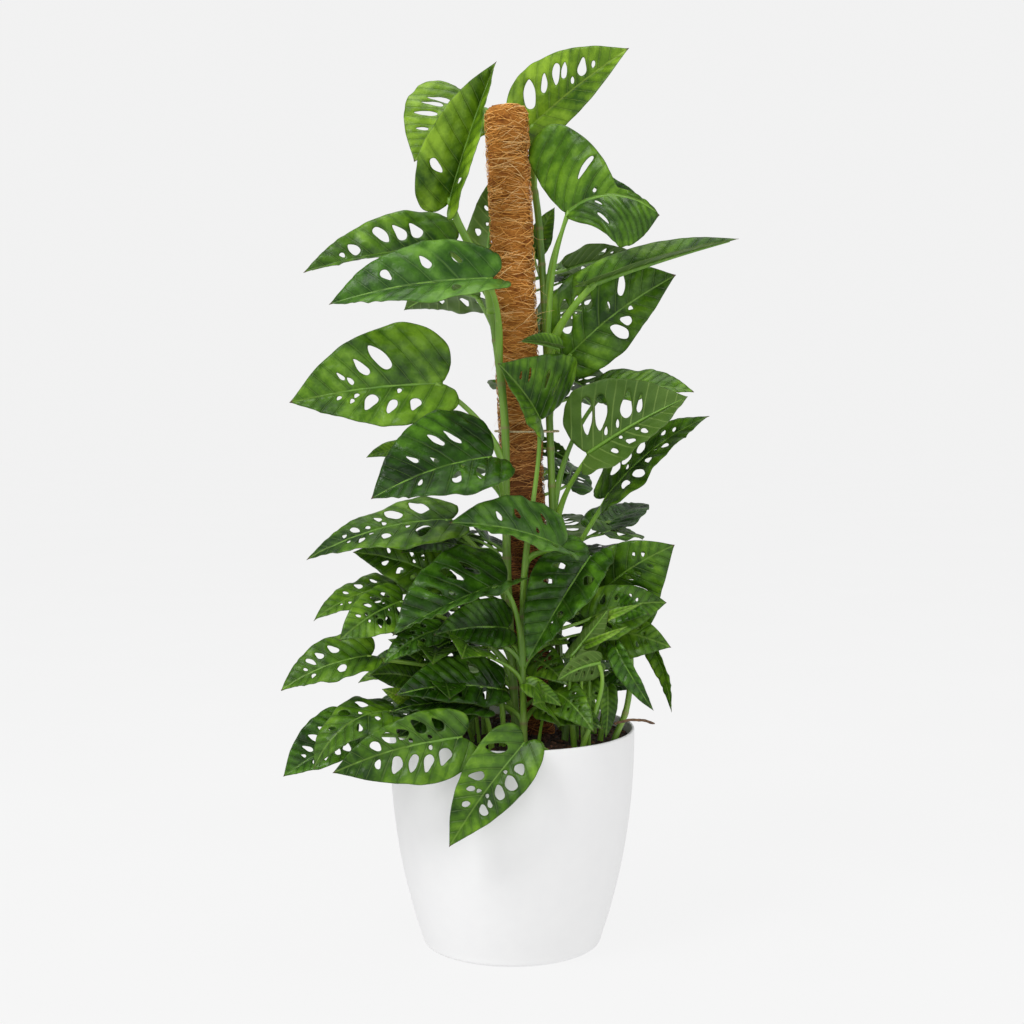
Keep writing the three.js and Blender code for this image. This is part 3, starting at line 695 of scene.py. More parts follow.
# ---------------------------------------------------------------- meshes
class Build:
    """Vertices, faces, material numbers and named values that grow into one mesh, in mm."""

    def __init__(self):
        self.vertices, self.faces, self.slots = [], [], []
        self.values = {}
        self.count = 0

    def add(self, vertices, faces, slot, **values):
        vertices = np.asarray(vertices, float)
        self.vertices.append(vertices)
        self.faces += [tuple(int(i) + self.count for i in f) for f in faces]
        slots = [slot] * len(faces) if isinstance(slot, int) else list(slot)
        self.slots += slots
        for name in set(self.values) | set(values):
            row = self.values.setdefault(name, [np.zeros(self.count)])
            row.append(np.broadcast_to(np.asarray(values.get(name, 0.0), float), (len(vertices),)))
        self.count += len(vertices)

    def finish(self, name, materials, slot):
        mesh = bpy.data.meshes.new(name)
        mesh.from_pydata((np.vstack(self.vertices) * MM).tolist(), [], self.faces)
        for material in materials:
            mesh.materials.append(material)
        mesh.polygons.foreach_set("material_index", self.slots)
        mesh.polygons.foreach_set("use_smooth", [True] * len(mesh.polygons))
        for key, rows in self.values.items():
            made = mesh.attributes.new(key, "FLOAT", "POINT")
            made.data.foreach_set("value", np.concatenate(rows).astype(np.float32))
        mesh.update()
        piece = bpy.data.objects.new(name, mesh)
        bpy.context.scene.collection.objects.link(piece)
        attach(piece, "root")
        return piece


def tube_faces(count, sides):
    """Faces of a tube of count rings, whose vertices are followed by the middles of its two ends."""
    k = np.arange(sides)
    after = (k + 1) % sides
    faces = []
    for i in range(count - 1):
        a, b = i * sides, (i + 1) * sides
        faces += list(zip(a + k, a + after, b + after, b + k))
    first, last = count * sides, count * sides + 1
    end = (count - 1) * sides
    faces += [(first, b, a) for a, b in zip(k, after)]
    faces += [(last, end + a, end + b) for a, b in zip(k, after)]
    return faces


def sweep(points, radii, sides, up=(0, 0, 1), section=None):
    """A closed tube along points: (vertices, faces, share along it)."""
    points = np.asarray(points, float)
    count = len(points)
    radii = np.broadcast_to(np.asarray(radii, float), (count,))
    tangents = np.gradient(points, axis=0)
    tangents /= np.linalg.norm(tangents, axis=1)[:, None]
    normal = np.array(up, float)
    if abs(normal.dot(tangents[0])) > 0.98:
        normal = np.array([1.0, 0.3, 0.0])
    angles = np.linspace(0, 2 * math.pi, sides, endpoint=False)
    rings = []
    for p, t, r in zip(points, tangents, radii):
        normal = unit(normal - normal.dot(t) * t)
        side = np.cross(t, normal)
        reach = r * (section(angles) if section else np.ones(sides))
        rings.append(p + reach[:, None] * (np.cos(angles)[:, None] * normal + np.sin(angles)[:, None] * side))
    vertices = np.vstack(rings + [points[:1], points[-1:]])
    share = np.concatenate([np.repeat(np.linspace(0, 1, count), sides), [0, 1]])
    return vertices, tube_faces(count, sides), share


# ---------------------------------------------------------------- lines of the stems and stalks
def centripetal(points, per_span):
    """The CAD's own curve: a Catmull-Rom line whose knots follow the root of the chords."""
    p = [np.array(q, float) for q in points]
    p = [2 * p[0] - p[1]] + p + [2 * p[-1] - p[-2]]
    line = []
    for a, b, c, d in zip(p, p[1:], p[2:], p[3:]):
        k = [np.linalg.norm(q) ** 0.5 for q in (b - a, c - b, d - c)]
        m1 = (b - a) / k[0] - (c - a) / (k[0] + k[1]) + (c - b) / k[1]
        m2 = (c - b) / k[1] - (d - b) / (k[1] + k[2]) + (d - c) / k[2]
        m1, m2 = m1 * k[1], m2 * k[1]
        for t in np.linspace(0, 1, per_span, endpoint=False):
            line.append(
                b + m1 * t + (-3 * b + 3 * c - 2 * m1 - m2) * t**2 + (2 * b - 2 * c + m1 + m2) * t**3
            )
    return np.array(line + [p[-2]])


vine_lines = {name: centripetal(v["through"], 14) for name, v in VINES.items()}


def on_vine(name, height):
    line = vine_lines[name]
    return line[np.argmin(np.abs(line[:, 2] - height))]


def stalk_start(leaf):
    if isinstance(leaf["from"][0], str):
        return on_vine(*leaf["from"])
    return np.array([leaf["from"][0], leaf["from"][1], SOIL_TOP - ROOT_DEPTH], float)


def stalk_line(leaf, f, steps):
    start = stalk_start(leaf)
    zero = np.zeros(1)
    end = blade_points(leaf, f, zero, zero + STALK["join"], zero - STALK["depth"])[0]
    before = blade_points(leaf, f, zero, zero - STALK["join"], zero - STALK["depth"])[0]
    reach = np.linalg.norm(end - start)
    arrival = unit(STALK["turn"] * unit(end - before) + unit(end - start))
    a, b = start, start + [0, 0, reach * STALK["rise"]]
    c, d = end - arrival * reach * STALK["reach"], end
    t = np.linspace(0, 1, steps)[:, None]
    return (1 - t) ** 3 * a + 3 * (1 - t) ** 2 * t * b + 3 * (1 - t) * t**2 * c + t**3 * d


def sheath_section(angles):
    """A stalk's section, with the groove of its upper side."""
    around = np.abs((angles + math.pi) % (2 * math.pi) - math.pi)
    return 1 - 0.3 * np.exp(-((around / 0.45) ** 2)) + 0.1 * np.exp(-(((around - 0.8) / 0.3) ** 2))


# ---------------------------------------------------------------- leaves
QUILT = {"bright": 0.7, "mid": 1.3, "blue": 1.1, "dark": 2.3, "pale": 0.7}
MIDRIB_BOW = 0.055
BOW_FOLD_LIMIT = 70
RELIEF_EASES = (1, 0.7, 0.4, 0.2, 0)
EASED_NARROWING = 0.06
WAVE = {"bright": 2.0, "mid": 2.6, "blue": 2.6, "dark": 2.2, "pale": 1.6}


def relief(leaf, flat, y, veins, share, rng):
    """How far each point of a blade stands off its smooth face, in mm."""
    x = flat.points[:, 0]
    puffs = np.array([rng.uniform(0.25, 1.5) for _ in range(64)])
    swell = puffs[np.floor(veins).astype(int) % 32 + 32 * (x >= 0)]
    dome = (np.abs(np.sin(math.pi * veins)) ** 0.8 - 0.5) * swell
    dome = dome * (1 + 0.5 * np.sin(0.19 * np.abs(x) + 2.1 * np.floor(veins)))
    window = smoothstep(0.03, 0.22, share) * (1 - smoothstep(0.72, 0.98, share))
    window = window * (1 - smoothstep(0.75, 0.95, y))
    quilt = QUILT[leaf["look"]] * dome * window
    side = (x >= 0).astype(int)
    phase = np.array([rng.uniform(0, 6.3), rng.uniform(0, 6.3)])[side]
    pace = np.array([rng.uniform(1.6, 2.6), rng.uniform(1.6, 2.6)])[side]
    swing = np.sin(2 * math.pi * pace * y + phase) + 0.45 * np.sin(2 * math.pi * 2.3 * pace * y + 2 * phase)
    wave = WAVE[leaf["look"]] * share**2.2 * swing
    along = flat.points[:, 1]
    ripple = 0.6 * np.sin(0.21 * x + 0.13 * along + phase) * np.sin(0.09 * along - 0.17 * x)
    ripple += 0.3 * np.sin(0.43 * x - 0.29 * along + 2 * phase) * np.sin(0.31 * along + 0.37 * x)
    groove = -0.5 * np.exp(-((x / 1.1) ** 2))
    size = min(1.0, flat.length / 110) ** 1.5
    return (quilt + wave + ripple) * size + groove * size


def bow_of(leaf, f, y):
    """How far the midrib swings upwards at y, in mm. A deeply folded blade keeps it straight."""
    ease = max(0.0, 1 - sum(map(abs, leaf["fold"])) / BOW_FOLD_LIMIT)
    upwards = max(-1.0, min(1.0, 2 * float(f["right"][2])))
    return MIDRIB_BOW * f["length"] * ease * upwards * np.sin(math.pi * np.clip(y, 0, 1))


def in_cad_box(points):
    return bool((points >= CAD_LOW).all() and (points <= CAD_HIGH).all())


def make_leaf(name, leaf, seed):
    rng = random.Random(seed)
    f = blade_frame(leaf)
    flat = Flat(name, leaf, f, rng)
    x, y = flat.points[:, 0], flat.points[:, 1] / flat.length
    side = (x >= 0).astype(int)
    halves = np.where(side == 1, width_at(leaf, 1, y), width_at(leaf, 0, y))
    share = np.clip(np.abs(x) / halves, 0, 1)
    veins = flat.veins(flat.points)
    height = relief(leaf, flat, y, veins, share, rng)
    thick = BLADE_HALF_THICKNESS * (0.4 + 0.6 * smoothstep(0, 2.5, flat.edge))
    lean = y + np.array(per_side(leaf, "sweep"))[side] * np.abs(x) / flat.length
    for ease in RELIEF_EASES:
        reach = x * (1 - EASED_NARROWING * (1 - ease)) + bow_of(leaf, f, y) * (1 - share**2)
        top = blade_points(leaf, f, reach, lean, ease * height + thick)
        bottom = blade_points(leaf, f, reach, lean, ease * height - thick)
        if in_cad_box(np.vstack([top, bottom])):
            break
    count = len(x)
    upper = flat.faces
    lower = upper[:, ::-1] + count
    directed = np.vstack([upper[:, [0, 1]], upper[:, [1, 2]], upper[:, [2, 0]]])
    pairs = set(map(tuple, directed.tolist()))
    rim = [(a, a + count, b + count, b) for a, b in pairs if (b, a) not in pairs]
    build = Build()
    twice = {
        "share": share, "vein": veins, "edge": flat.edge, "across": np.abs(x), "along": y,
        "tint": np.full(count, rng.random()),
    }
    build.add(
        np.vstack([top, bottom]),
        upper.tolist() + lower.tolist() + rim,
        [0] * len(upper) + [1] * (len(lower) + len(rim)),
        **{key: np.concatenate([v, v]) for key, v in twice.items()},
    )
    add_rib(build, leaf, f)
    add_stalk(build, leaf, f, rng)
    look = leaf["look"]
    piece_name = name.replace("leaf_", "monstera_") if name in LEAVES else name
    return build.finish(piece_name, [upper_materials[look], under_materials[look], stalk_material], "leaf")


def stalk_size(leaf, length):
    return leaf.get("stalk", STALK["radius"] * (0.8 + 0.35 * min(1.3, length / 130)))


def add_rib(build, leaf, f):
    """The midrib standing out of the underside."""
    y = np.linspace(-0.01, 0.94, 22)
    radii = 0.75 * stalk_size(leaf, f["length"]) * (1 - y) ** 0.7 + 0.25
    line = blade_points(leaf, f, bow_of(leaf, f, y), y, -0.35 - 0.55 * radii)
    vertices, faces, along = sweep(line, radii, 8, up=-f["up"])
    build.add(vertices, faces, 2, along=0.9 + 0.1 * along, rib=1.0)


def add_stalk(build, leaf, f, rng):
    line = stalk_line(leaf, f, 22)
    t = np.linspace(0, 1, len(line))
    r = stalk_size(leaf, f["length"])
    sheath = 0.4 * (1 - smoothstep(0.25, 0.6, t))
    knee = 0.18 * np.exp(-(((t - 0.95) / 0.03) ** 2))
    radii = r * (1.0 + sheath + knee - 0.12 * smoothstep(0.5, 1, t))
    vertices, faces, along = sweep(line, radii, 12, up=f["up"], section=sheath_section)
    build.add(vertices, faces, 2, along=along, tint=rng.random())


# ---------------------------------------------------------------- materials
class Graph:
    """A node material with one Principled shader, and short calls for its nodes."""

    def __init__(self, name, **uniform):
        self.material = bpy.data.materials.new(name)
        self.material.use_nodes = True
        self.tree = self.material.node_tree
        self.shader = self.tree.nodes["Principled BSDF"]
        for key, value in uniform.items():
            self.shader.inputs[key.replace("_", " ")].default_value = value
        self.place = self.node("ShaderNodeTexCoord").outputs["Object"]

    def node(self, kind, **settings):
        made = self.tree.nodes.new(kind)
        for key, value in settings.items():
            setattr(made, key, value)
        return made

    def put(self, value, socket):
        if isinstance(value, bpy.types.NodeSocket):
            self.tree.links.new(value, socket)
        else:
            socket.default_value = value

    def math(self, operation, a, b=0.0, clamp=False):
        made = self.node("ShaderNodeMath", operation=operation, use_clamp=clamp)
        self.put(a, made.inputs[0])
        self.put(b, made.inputs[1])
        return made.outputs[0]

    def add(self, *terms):
        total = terms[0]
        for term in terms[1:]:
            total = self.math("ADD", total, term)
        return total

    def times(self, a, b):
        return self.math("MULTIPLY", a, b)

    def attribute(self, name):
        return self.node("ShaderNodeAttribute", attribute_name=name).outputs["Fac"]

    def noise(self, scale, detail=3.0, stretch=(1, 1, 1), distortion=0.0):
        moved = self.node("ShaderNodeMapping")
        self.put(self.place, moved.inputs["Vector"])
        moved.inputs["Scale"].default_value = stretch
        made = self.node("ShaderNodeTexNoise")
        self.put(moved.outputs[0], made.inputs["Vector"])
        self.put(scale, made.inputs["Scale"])
        self.put(detail, made.inputs["Detail"])
        self.put(distortion, made.inputs["Distortion"])
        return made.outputs["Fac"]

    def cells(self, scale):
        made = self.node("ShaderNodeTexVoronoi", feature="DISTANCE_TO_EDGE")
        self.put(self.place, made.inputs["Vector"])
        self.put(scale, made.inputs["Scale"])
        return made.outputs["Distance"]

    def fade(self, value, low, high, start=0.0, end=1.0):
        """start below low, end above high, and smooth between them."""
        made = self.node("ShaderNodeMapRange", interpolation_type="SMOOTHSTEP")
        sockets = {"Value": value, "From Min": low, "From Max": high, "To Min": start, "To Max": end}
        for key, v in sockets.items():
            self.put(v, made.inputs[key])
        return made.outputs["Result"]

    def ramp(self, value, *stops):
        made = self.node("ShaderNodeValToRGB")
        self.put(value, made.inputs["Fac"])
        ramp = made.color_ramp
        while len(ramp.elements) < len(stops):
            ramp.elements.new(0.5)
        for element, (at, colour) in zip(ramp.elements, stops):
            element.position = at
            element.color = (*colour, 1)
        return made.outputs["Color"]

    def mix(self, factor, a, b, blend="MIX"):
        made = self.node("ShaderNodeMix", data_type="RGBA", blend_type=blend)
        self.put(factor, made.inputs[0])
        for value, socket in ((a, made.inputs[6]), (b, made.inputs[7])):
            self.put((*value, 1) if isinstance(value, tuple) else value, socket)
        return made.outputs[2]

    def bump(self, height, strength, distance):
        made = self.node("ShaderNodeBump")
        self.put(height, made.inputs["Height"])
        made.inputs["Strength"].default_value = strength
        made.inputs["Distance"].default_value = distance
        self.put(made.outputs[0], self.shader.inputs["Normal"])

    def finish(self, colour, roughness):
        self.put(colour, self.shader.inputs["Base Color"])
        self.put(roughness, self.shader.inputs["Roughness"])
        return self.material


def vein_lines(g, width):
    """1 on the side veins, fading towards the margin, and 0 between them."""
    off = g.math("PINGPONG", g.attribute("vein"), 0.5)
    line = g.fade(off, 0.01, width, 1.0, 0.0)
    return g.times(line, g.fade(g.attribute("share"), 0.35, 0.95, 1.0, 0.25))


def upper_material(look, deep, mid, light, vein, roughness):
    g = Graph("leaf_upper_" + look, Specular_IOR_Level=0.22)
    share = g.attribute("share")
    off = g.times(g.math("PINGPONG", g.attribute("vein"), 0.5), 2.0)
    # Part of this tone is painted shade: the off terms darken the side-vein creases and lighten the domes
    # between them, and the share term keeps the blade darker by the midrib fold. The noise, tint and cell
    # terms are the leaf's own mottling.
    tone = g.add(
        g.times(g.noise(24, 3.0, distortion=0.6), 1.9),
        g.times(share, 0.3),
        g.times(off, 0.2),
        g.times(g.attribute("tint"), 0.16),
        g.times(g.noise(80, 4.0), 0.75),
        g.fade(off, 0.04, 0.3, -0.14, 0.0),
        g.fade(g.cells(120), 0.0, 0.12, 0.07, 0.0),
        -1.25,
    )
    colour = g.ramp(tone, (0.0, deep), (0.45, mid), (1.0, light))
    colour = g.mix(g.times(vein_lines(g, 0.06), 0.24), colour, vein)
    rib = g.fade(g.attribute("across"), 0.3, 1.2, 0.45, 0.0)
    colour = g.mix(rib, colour, vein)
    colour = g.mix(g.fade(g.attribute("edge"), 0.25, 0.9, 0.55, 0.0), colour, (0.05, 0.09, 0.02))
    colour = g.mix(g.fade(g.attribute("along"), 0.965, 0.99), colour, (0.07, 0.04, 0.02))
    fine = g.add(
        g.times(g.cells(330), 0.08), g.times(g.noise(110, 3.0), 0.5), g.times(g.noise(42, 2.0), 1.3),
        g.times(vein_lines(g, 0.08), -0.35),
    )
    g.bump(fine, 0.55, 0.0026)
    rough = g.add(g.times(g.noise(60, 2.0), 0.2), roughness - 0.09)
    return g.finish(colour, rough)


def under_material(look, deep, light, vein):
    g = Graph("leaf_under_" + look, Specular_IOR_Level=0.2)
    tone = g.add(
        g.times(g.noise(30, 3.0), 0.8),
        g.times(g.attribute("tint"), 0.2),
        g.times(g.noise(200, 2.0), 0.15),
        -0.1,
    )
    colour = g.ramp(tone, (0.1, deep), (0.9, light))
    colour = g.mix(g.times(vein_lines(g, 0.1), 0.55), colour, vein)
    colour = g.mix(g.fade(g.attribute("edge"), 0.25, 0.9, 0.5, 0.0), colour, (0.08, 0.11, 0.03))
    fine = g.add(g.times(g.cells(300), 0.5), g.times(vein_lines(g, 0.1), 1.2))
    g.bump(fine, 0.4, 0.0008)
    return g.finish(colour, g.add(g.times(g.noise(80, 2.0), 0.12), 0.42))


def make_stalk_material():
    g = Graph("stalk", Coat_Weight=0.08, Coat_Roughness=0.3)
    tone = g.add(g.times(g.noise(60, 3.0, (1, 1, 0.15)), 0.9), g.times(g.attribute("tint"), 0.3), -0.15)
    colour = g.ramp(tone, (0.1, (0.07, 0.19, 0.008)), (0.55, (0.17, 0.34, 0.025)), (0.95, (0.34, 0.52, 0.08)))
    streak = g.noise(420, 2.0, (1, 1, 0.06))
    colour = g.mix(g.fade(streak, 0.55, 0.75, 0.0, 0.3), colour, (0.36, 0.46, 0.14))
    g.bump(streak, 0.3, 0.0006)
    return g.finish(colour, g.add(g.times(streak, 0.15), 0.35))


def make_vine_material():
    g = Graph("vine", Coat_Weight=0.05)
    tone = g.noise(45, 4.0, (1, 1, 0.3))
    colour = g.ramp(
        tone, (0.25, (0.06, 0.15, 0.008)), (0.55, (0.15, 0.29, 0.025)), (0.85, (0.28, 0.42, 0.07))
    )
    bark = g.fade(g.attribute("node"), 0.3, 1.0, 0.0, 0.75)
    colour = g.mix(bark, colour, (0.2, 0.16, 0.06))
    streak = g.noise(380, 3.0, (1, 1, 0.08))
    colour = g.mix(g.fade(streak, 0.58, 0.75, 0.0, 0.3), colour, (0.3, 0.33, 0.12))
    g.bump(g.add(streak, g.attribute("node")), 0.4, 0.001)
    return g.finish(colour, g.add(g.times(streak, 0.2), 0.38))


def make_coir_material():
    g = Graph("coir", Specular_IOR_Level=0.25)
    # The shade attribute is partly the fibres' own random tone and partly painted shade of the deeper strands
    # and the bare core.
    tone = g.add(
        g.times(g.attribute("shade"), 0.85),
        g.times(g.noise(340, 3.0), 0.35),
        g.times(g.noise(55, 3.0, (1, 1, 2.4)), 0.7),
        -0.38,
    )
    high = g.ramp(
        tone,
        (0.0, (0.2, 0.06, 0.007)),
        (0.35, (0.6, 0.25, 0.04)),
        (0.7, (0.86, 0.44, 0.11)),
        (1.0, (0.95, 0.64, 0.28)),
    )
    low = g.ramp(tone, (0.0, (0.05, 0.014, 0.004)), (0.5, (0.24, 0.08, 0.02)), (1.0, (0.58, 0.26, 0.07)))
    # Below about 430 mm the darker low ramp takes over: painted shade of the lower pole among the leaves.
    colour = g.mix(g.fade(g.attribute("height"), 430, 600), low, high)
    g.bump(g.noise(900, 3.0), 0.5, 0.0006)
    return g.finish(colour, g.add(g.times(g.noise(500, 2.0), 0.15), 0.72))


def make_soil_material():
    g = Graph("soil")
    tone = g.add(g.times(g.noise(150, 5.0), 0.8), g.times(g.attribute("shade"), 0.4), -0.1)
    colour = g.ramp(
        tone, (0.2, (0.012, 0.006, 0.003)), (0.55, (0.06, 0.025, 0.012)), (0.9, (0.2, 0.09, 0.045))
    )
    g.bump(g.add(g.noise(220, 5.0), g.times(g.noise(900, 3.0), 0.4)), 0.8, 0.004)
    return g.finish(colour, g.add(g.times(g.noise(300, 2.0), 0.2), 0.75))


def make_pot_material():
    g = Graph("planter_plastic")
    tone = g.add(g.times(g.noise(5, 3.0), 0.6), g.times(g.noise(70, 3.0), 0.4))
    colour = g.ramp(tone, (0.3, (0.83, 0.83, 0.835)), (0.7, (0.86, 0.86, 0.86)))
    g.bump(g.add(g.noise(900, 2.0), g.times(g.noise(30, 2.0), 0.5)), 0.06, 0.0005)
    return g.finish(colour, g.add(g.times(g.noise(40, 3.0), 0.1), 0.42))


def make_plain_material(name, low, high, scale, roughness):
    g = Graph(name)
    tone = g.noise(scale, 4.0)
    g.bump(tone, 0.5, 0.0008)
    return g.finish(g.ramp(tone, (0.3, low), (0.7, high)), g.add(g.times(g.noise(scale * 2), 0.2), roughness))


# The colours of each look: (deep, mid, light, veins, roughness) above and (deep, light, veins) below. The
# dark look, given to leaves low in the plant or behind others, is partly their own deeper green and partly
# painted shade.
UPPER_LOOKS = {
    "bright": ((0.022, 0.068, 0.001), (0.1, 0.2, 0.006), (0.25, 0.42, 0.025), (0.26, 0.38, 0.05), 0.36),
    "mid": ((0.011, 0.042, 0.001), (0.055, 0.14, 0.004), (0.17, 0.33, 0.02), (0.18, 0.31, 0.045), 0.34),
    "blue": ((0.014, 0.055, 0.003), (0.05, 0.14, 0.01), (0.14, 0.3, 0.035), (0.16, 0.3, 0.06), 0.34),
    "dark": ((0.004, 0.018, 0.0005), (0.02, 0.07, 0.002), (0.085, 0.22, 0.012), (0.11, 0.22, 0.03), 0.28),
    "pale": ((0.06, 0.14, 0.006), (0.13, 0.27, 0.015), (0.28, 0.46, 0.05), (0.32, 0.46, 0.1), 0.4),
}
UNDER_LOOKS = {
    "bright": ((0.055, 0.13, 0.008), (0.15, 0.27, 0.025), (0.24, 0.36, 0.06)),
    "mid": ((0.035, 0.085, 0.008), (0.11, 0.2, 0.03), (0.2, 0.3, 0.07)),
    "blue": ((0.04, 0.1, 0.012), (0.11, 0.21, 0.035), (0.19, 0.31, 0.07)),
    "dark": ((0.018, 0.055, 0.004), (0.06, 0.13, 0.015), (0.12, 0.21, 0.035)),
    "pale": ((0.11, 0.21, 0.03), (0.21, 0.34, 0.06), (0.29, 0.41, 0.11)),
}
upper_materials = {look: upper_material(look, *tones) for look, tones in UPPER_LOOKS.items()}
under_materials = {look: under_material(look, *tones) for look, tones in UNDER_LOOKS.items()}
stalk_material = make_stalk_material()
vine_material = make_vine_material()
coir_material = make_coir_material()
soil_material = make_soil_material()
pot_material = make_pot_material()
root_material = make_plain_material("root", (0.05, 0.025, 0.012), (0.2, 0.11, 0.05), 300, 0.6)
twine_material = make_plain_material("twine", (0.3, 0.24, 0.12), (0.6, 0.5, 0.3), 700, 0.7)
wood_material = make_plain_material("wood", (0.3, 0.18, 0.09), (0.5, 0.33, 0.18), 90, 0.6)


# ---------------------------------------------------------------- planter and soil
def pot_radius(z):
    """The planter's outer radius at a height, in mm."""
    low = np.clip(1 - np.asarray(z, float) / POT["height"], 0, 1)
    return POT["rim"] - (POT["rim"] - POT["foot"]) * low ** POT["flare"]


def lathe(profile, sides):
    """A closed solid turned from (radius, height) pairs that begin and end on the axis."""
    ring = [(r, z) for r, z in profile if r > 0]
    angles = np.linspace(0, 2 * math.pi, sides, endpoint=False)
    vertices = np.array([(r * math.cos(a), r * math.sin(a), z) for r, z in ring for a in angles])
    ends = [[0, 0, profile[0][1]], [0, 0, profile[-1][1]]]
    return np.vstack([vertices, ends]), tube_faces(len(ring), sides)


POT_LIP = 1.3
POT_SIDES = 160 if FINE else 64


def make_pot():
    top, corner, wall = POT["height"], POT["corner"], POT["wall"]
    foot = float(pot_radius(corner))
    turns = np.linspace(0, math.pi / 2, 7)
    profile = [(0, 2.0), (POT["foot"] * 0.86, 2.0), (POT["foot"] * 0.9, 0.0)]
    profile += [(foot - corner + corner * math.sin(t), corner - corner * math.cos(t)) for t in turns]
    profile += [(float(pot_radius(z)), z) for z in np.linspace(corner, top - POT_LIP, 40)[1:]]
    around = np.linspace(0, math.pi, 9)[1:-1]
    middle = POT["rim"] - wall / 2
    profile += [(middle + wall / 2 * math.cos(t), top - POT_LIP + POT_LIP * math.sin(t)) for t in around]
    profile += [(float(pot_radius(z)) - wall, z) for z in np.linspace(top - POT_LIP, POT["floor"] + 2, 30)]
    profile += [(POT["foot"] - 8, POT["floor"]), (0, POT["floor"])]
    vertices, faces = lathe(profile, POT_SIDES)
    build = Build()
    build.add(vertices, faces, 0)
    pot = build.finish("planter_shell", [pot_material], "planter")
    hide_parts("planter")


CRUMBS = 900 if FINE else 300


def make_soil_crumbs():
    """Lumps of bark and fibre on the soil, between whatever grows there."""
    rng = random.Random(41)
    build = Build()
    inner = POT["rim"] - POT["wall"] - 5
    for _ in range(CRUMBS):
        radius = inner * math.sqrt(rng.random())
        angle = rng.uniform(0, 2 * math.pi)
        z = SOIL_TOP + SOIL_MOUND * (1 - (radius / inner) ** 2) + rng.uniform(-0.5, 0.8)
        size = rng.uniform(1.2, 4.2)
        centre = np.array([radius * math.cos(angle), radius * math.sin(angle), z])
        turn = rng.uniform(0, math.pi)
        along = np.array([math.cos(turn), math.sin(turn), rng.uniform(-0.25, 0.25)])
        line = [centre + along * size * s for s in (-0.9, -0.45, 0.1, 0.7)]
        shares = (rng.uniform(0.2, 0.4), rng.uniform(0.4, 0.6), 0.5, rng.uniform(0.2, 0.4))
        vertices, faces, _along = sweep(line, [size * share for share in shares], 6)
        build.add(vertices, faces, 0, shade=rng.random())
    build.finish("soil_crumbs", [soil_material], "soil")


# ---------------------------------------------------------------- coir pole
POLE_AXIS = unit(POLE_TOP - POLE_FOOT)
POLE_SIDE = unit(np.cross(POLE_AXIS, [0.0, 1.0, 0.0]))
POLE_FRONT = np.cross(POLE_AXIS, POLE_SIDE)
POLE_LENGTH = float(np.linalg.norm(POLE_TOP - POLE_FOOT))


def on_pole(height, angle, radius):
    """Points on the pole: height along it from its foot in mm, angle round it, radius from its axis."""
    height, angle, radius = np.broadcast_arrays(height, angle, radius)
    out = np.cos(angle)[..., None] * POLE_SIDE + np.sin(angle)[..., None] * POLE_FRONT
    return POLE_FOOT + height[..., None] * POLE_AXIS + radius[..., None] * out


def sleeve_radius(height):
    """The sleeve's radius, rounded over at its top."""
    left = np.clip((POLE_LENGTH - height) / SLEEVE_CAP, 0, 1)
    return (POLE_RADIUS - 1.2) * np.sqrt(1 - 0.55 * (1 - left) ** 2)


def make_sleeve():
    build = Build()
    low = SLEEVE_START - POLE_FOOT[2]
    high = POLE_LENGTH - 0.8
    shoulder = high - SLEEVE_CAP
    heights = np.concatenate([np.linspace(low, shoulder, 60), np.linspace(shoulder, high, 7)[1:]])
    line = POLE_FOOT + heights[:, None] * POLE_AXIS
    vertices, faces, along = sweep(line, sleeve_radius(heights) - 1.2, 48)
    # The bare core gets shade 0, the darkest tone: painted shade in the gaps between strands.
    build.add(vertices, faces, 0, shade=0.0, height=vertices[:, 2])
    add_fibres(build, low, high)
    sleeve = build.finish("coir_fibres", [coir_material], "coir")
    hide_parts("coir_sleeve")


FIBRES = 5200 if FINE else 2600
FIBRE_SPANS = 4
LOOSE_HAIRS = 150 if FINE else 40


def add_fibres(build, low, high):
    """Bound strands of coconut fibre, laid in slanting bands round the pole."""
    rng = np.random.default_rng(7)
    count = FIBRES
    start = rng.uniform(low + 1, high - 2, count)
    angle = rng.uniform(0, 2 * math.pi, count)
    band = np.where(np.sin(start * 0.11 + angle) > -0.2, 1.0, -1.0) * np.where(rng.random(count) < 0.8, 1, -1)
    turn = band * rng.uniform(0.5, 1.5, count)
    climb = rng.normal(0, 7, count)
    bow = rng.uniform(-3, 3, count)
    depth = rng.uniform(-0.9, 0.9, count)
    thick = rng.uniform(0.22, 0.58, count)
    # Each strand's shade is partly random fibre tone and partly painted shade: strands lying deeper are
    # darker.
    shade = np.clip(rng.normal(0.5, 0.3, count) + 0.25 * depth, 0, 1)
    t = np.linspace(0, 1, FIBRE_SPANS + 1)
    for i in range(count):
        height = np.clip(start[i] + climb[i] * t + bow[i] * np.sin(math.pi * t), low + 1, high - 0.5)
        lift = sleeve_radius(height) + depth[i] + 0.5 * np.sin(math.pi * t)
        line = on_pole(height, angle[i] + turn[i] * t, lift)
        vertices, faces, _along = sweep(line, thick[i] * (1 - 0.5 * t), 3, up=POLE_AXIS)
        build.add(vertices, faces, 0, shade=shade[i], height=vertices[:, 2])
    add_loose_hairs(build, low, high)


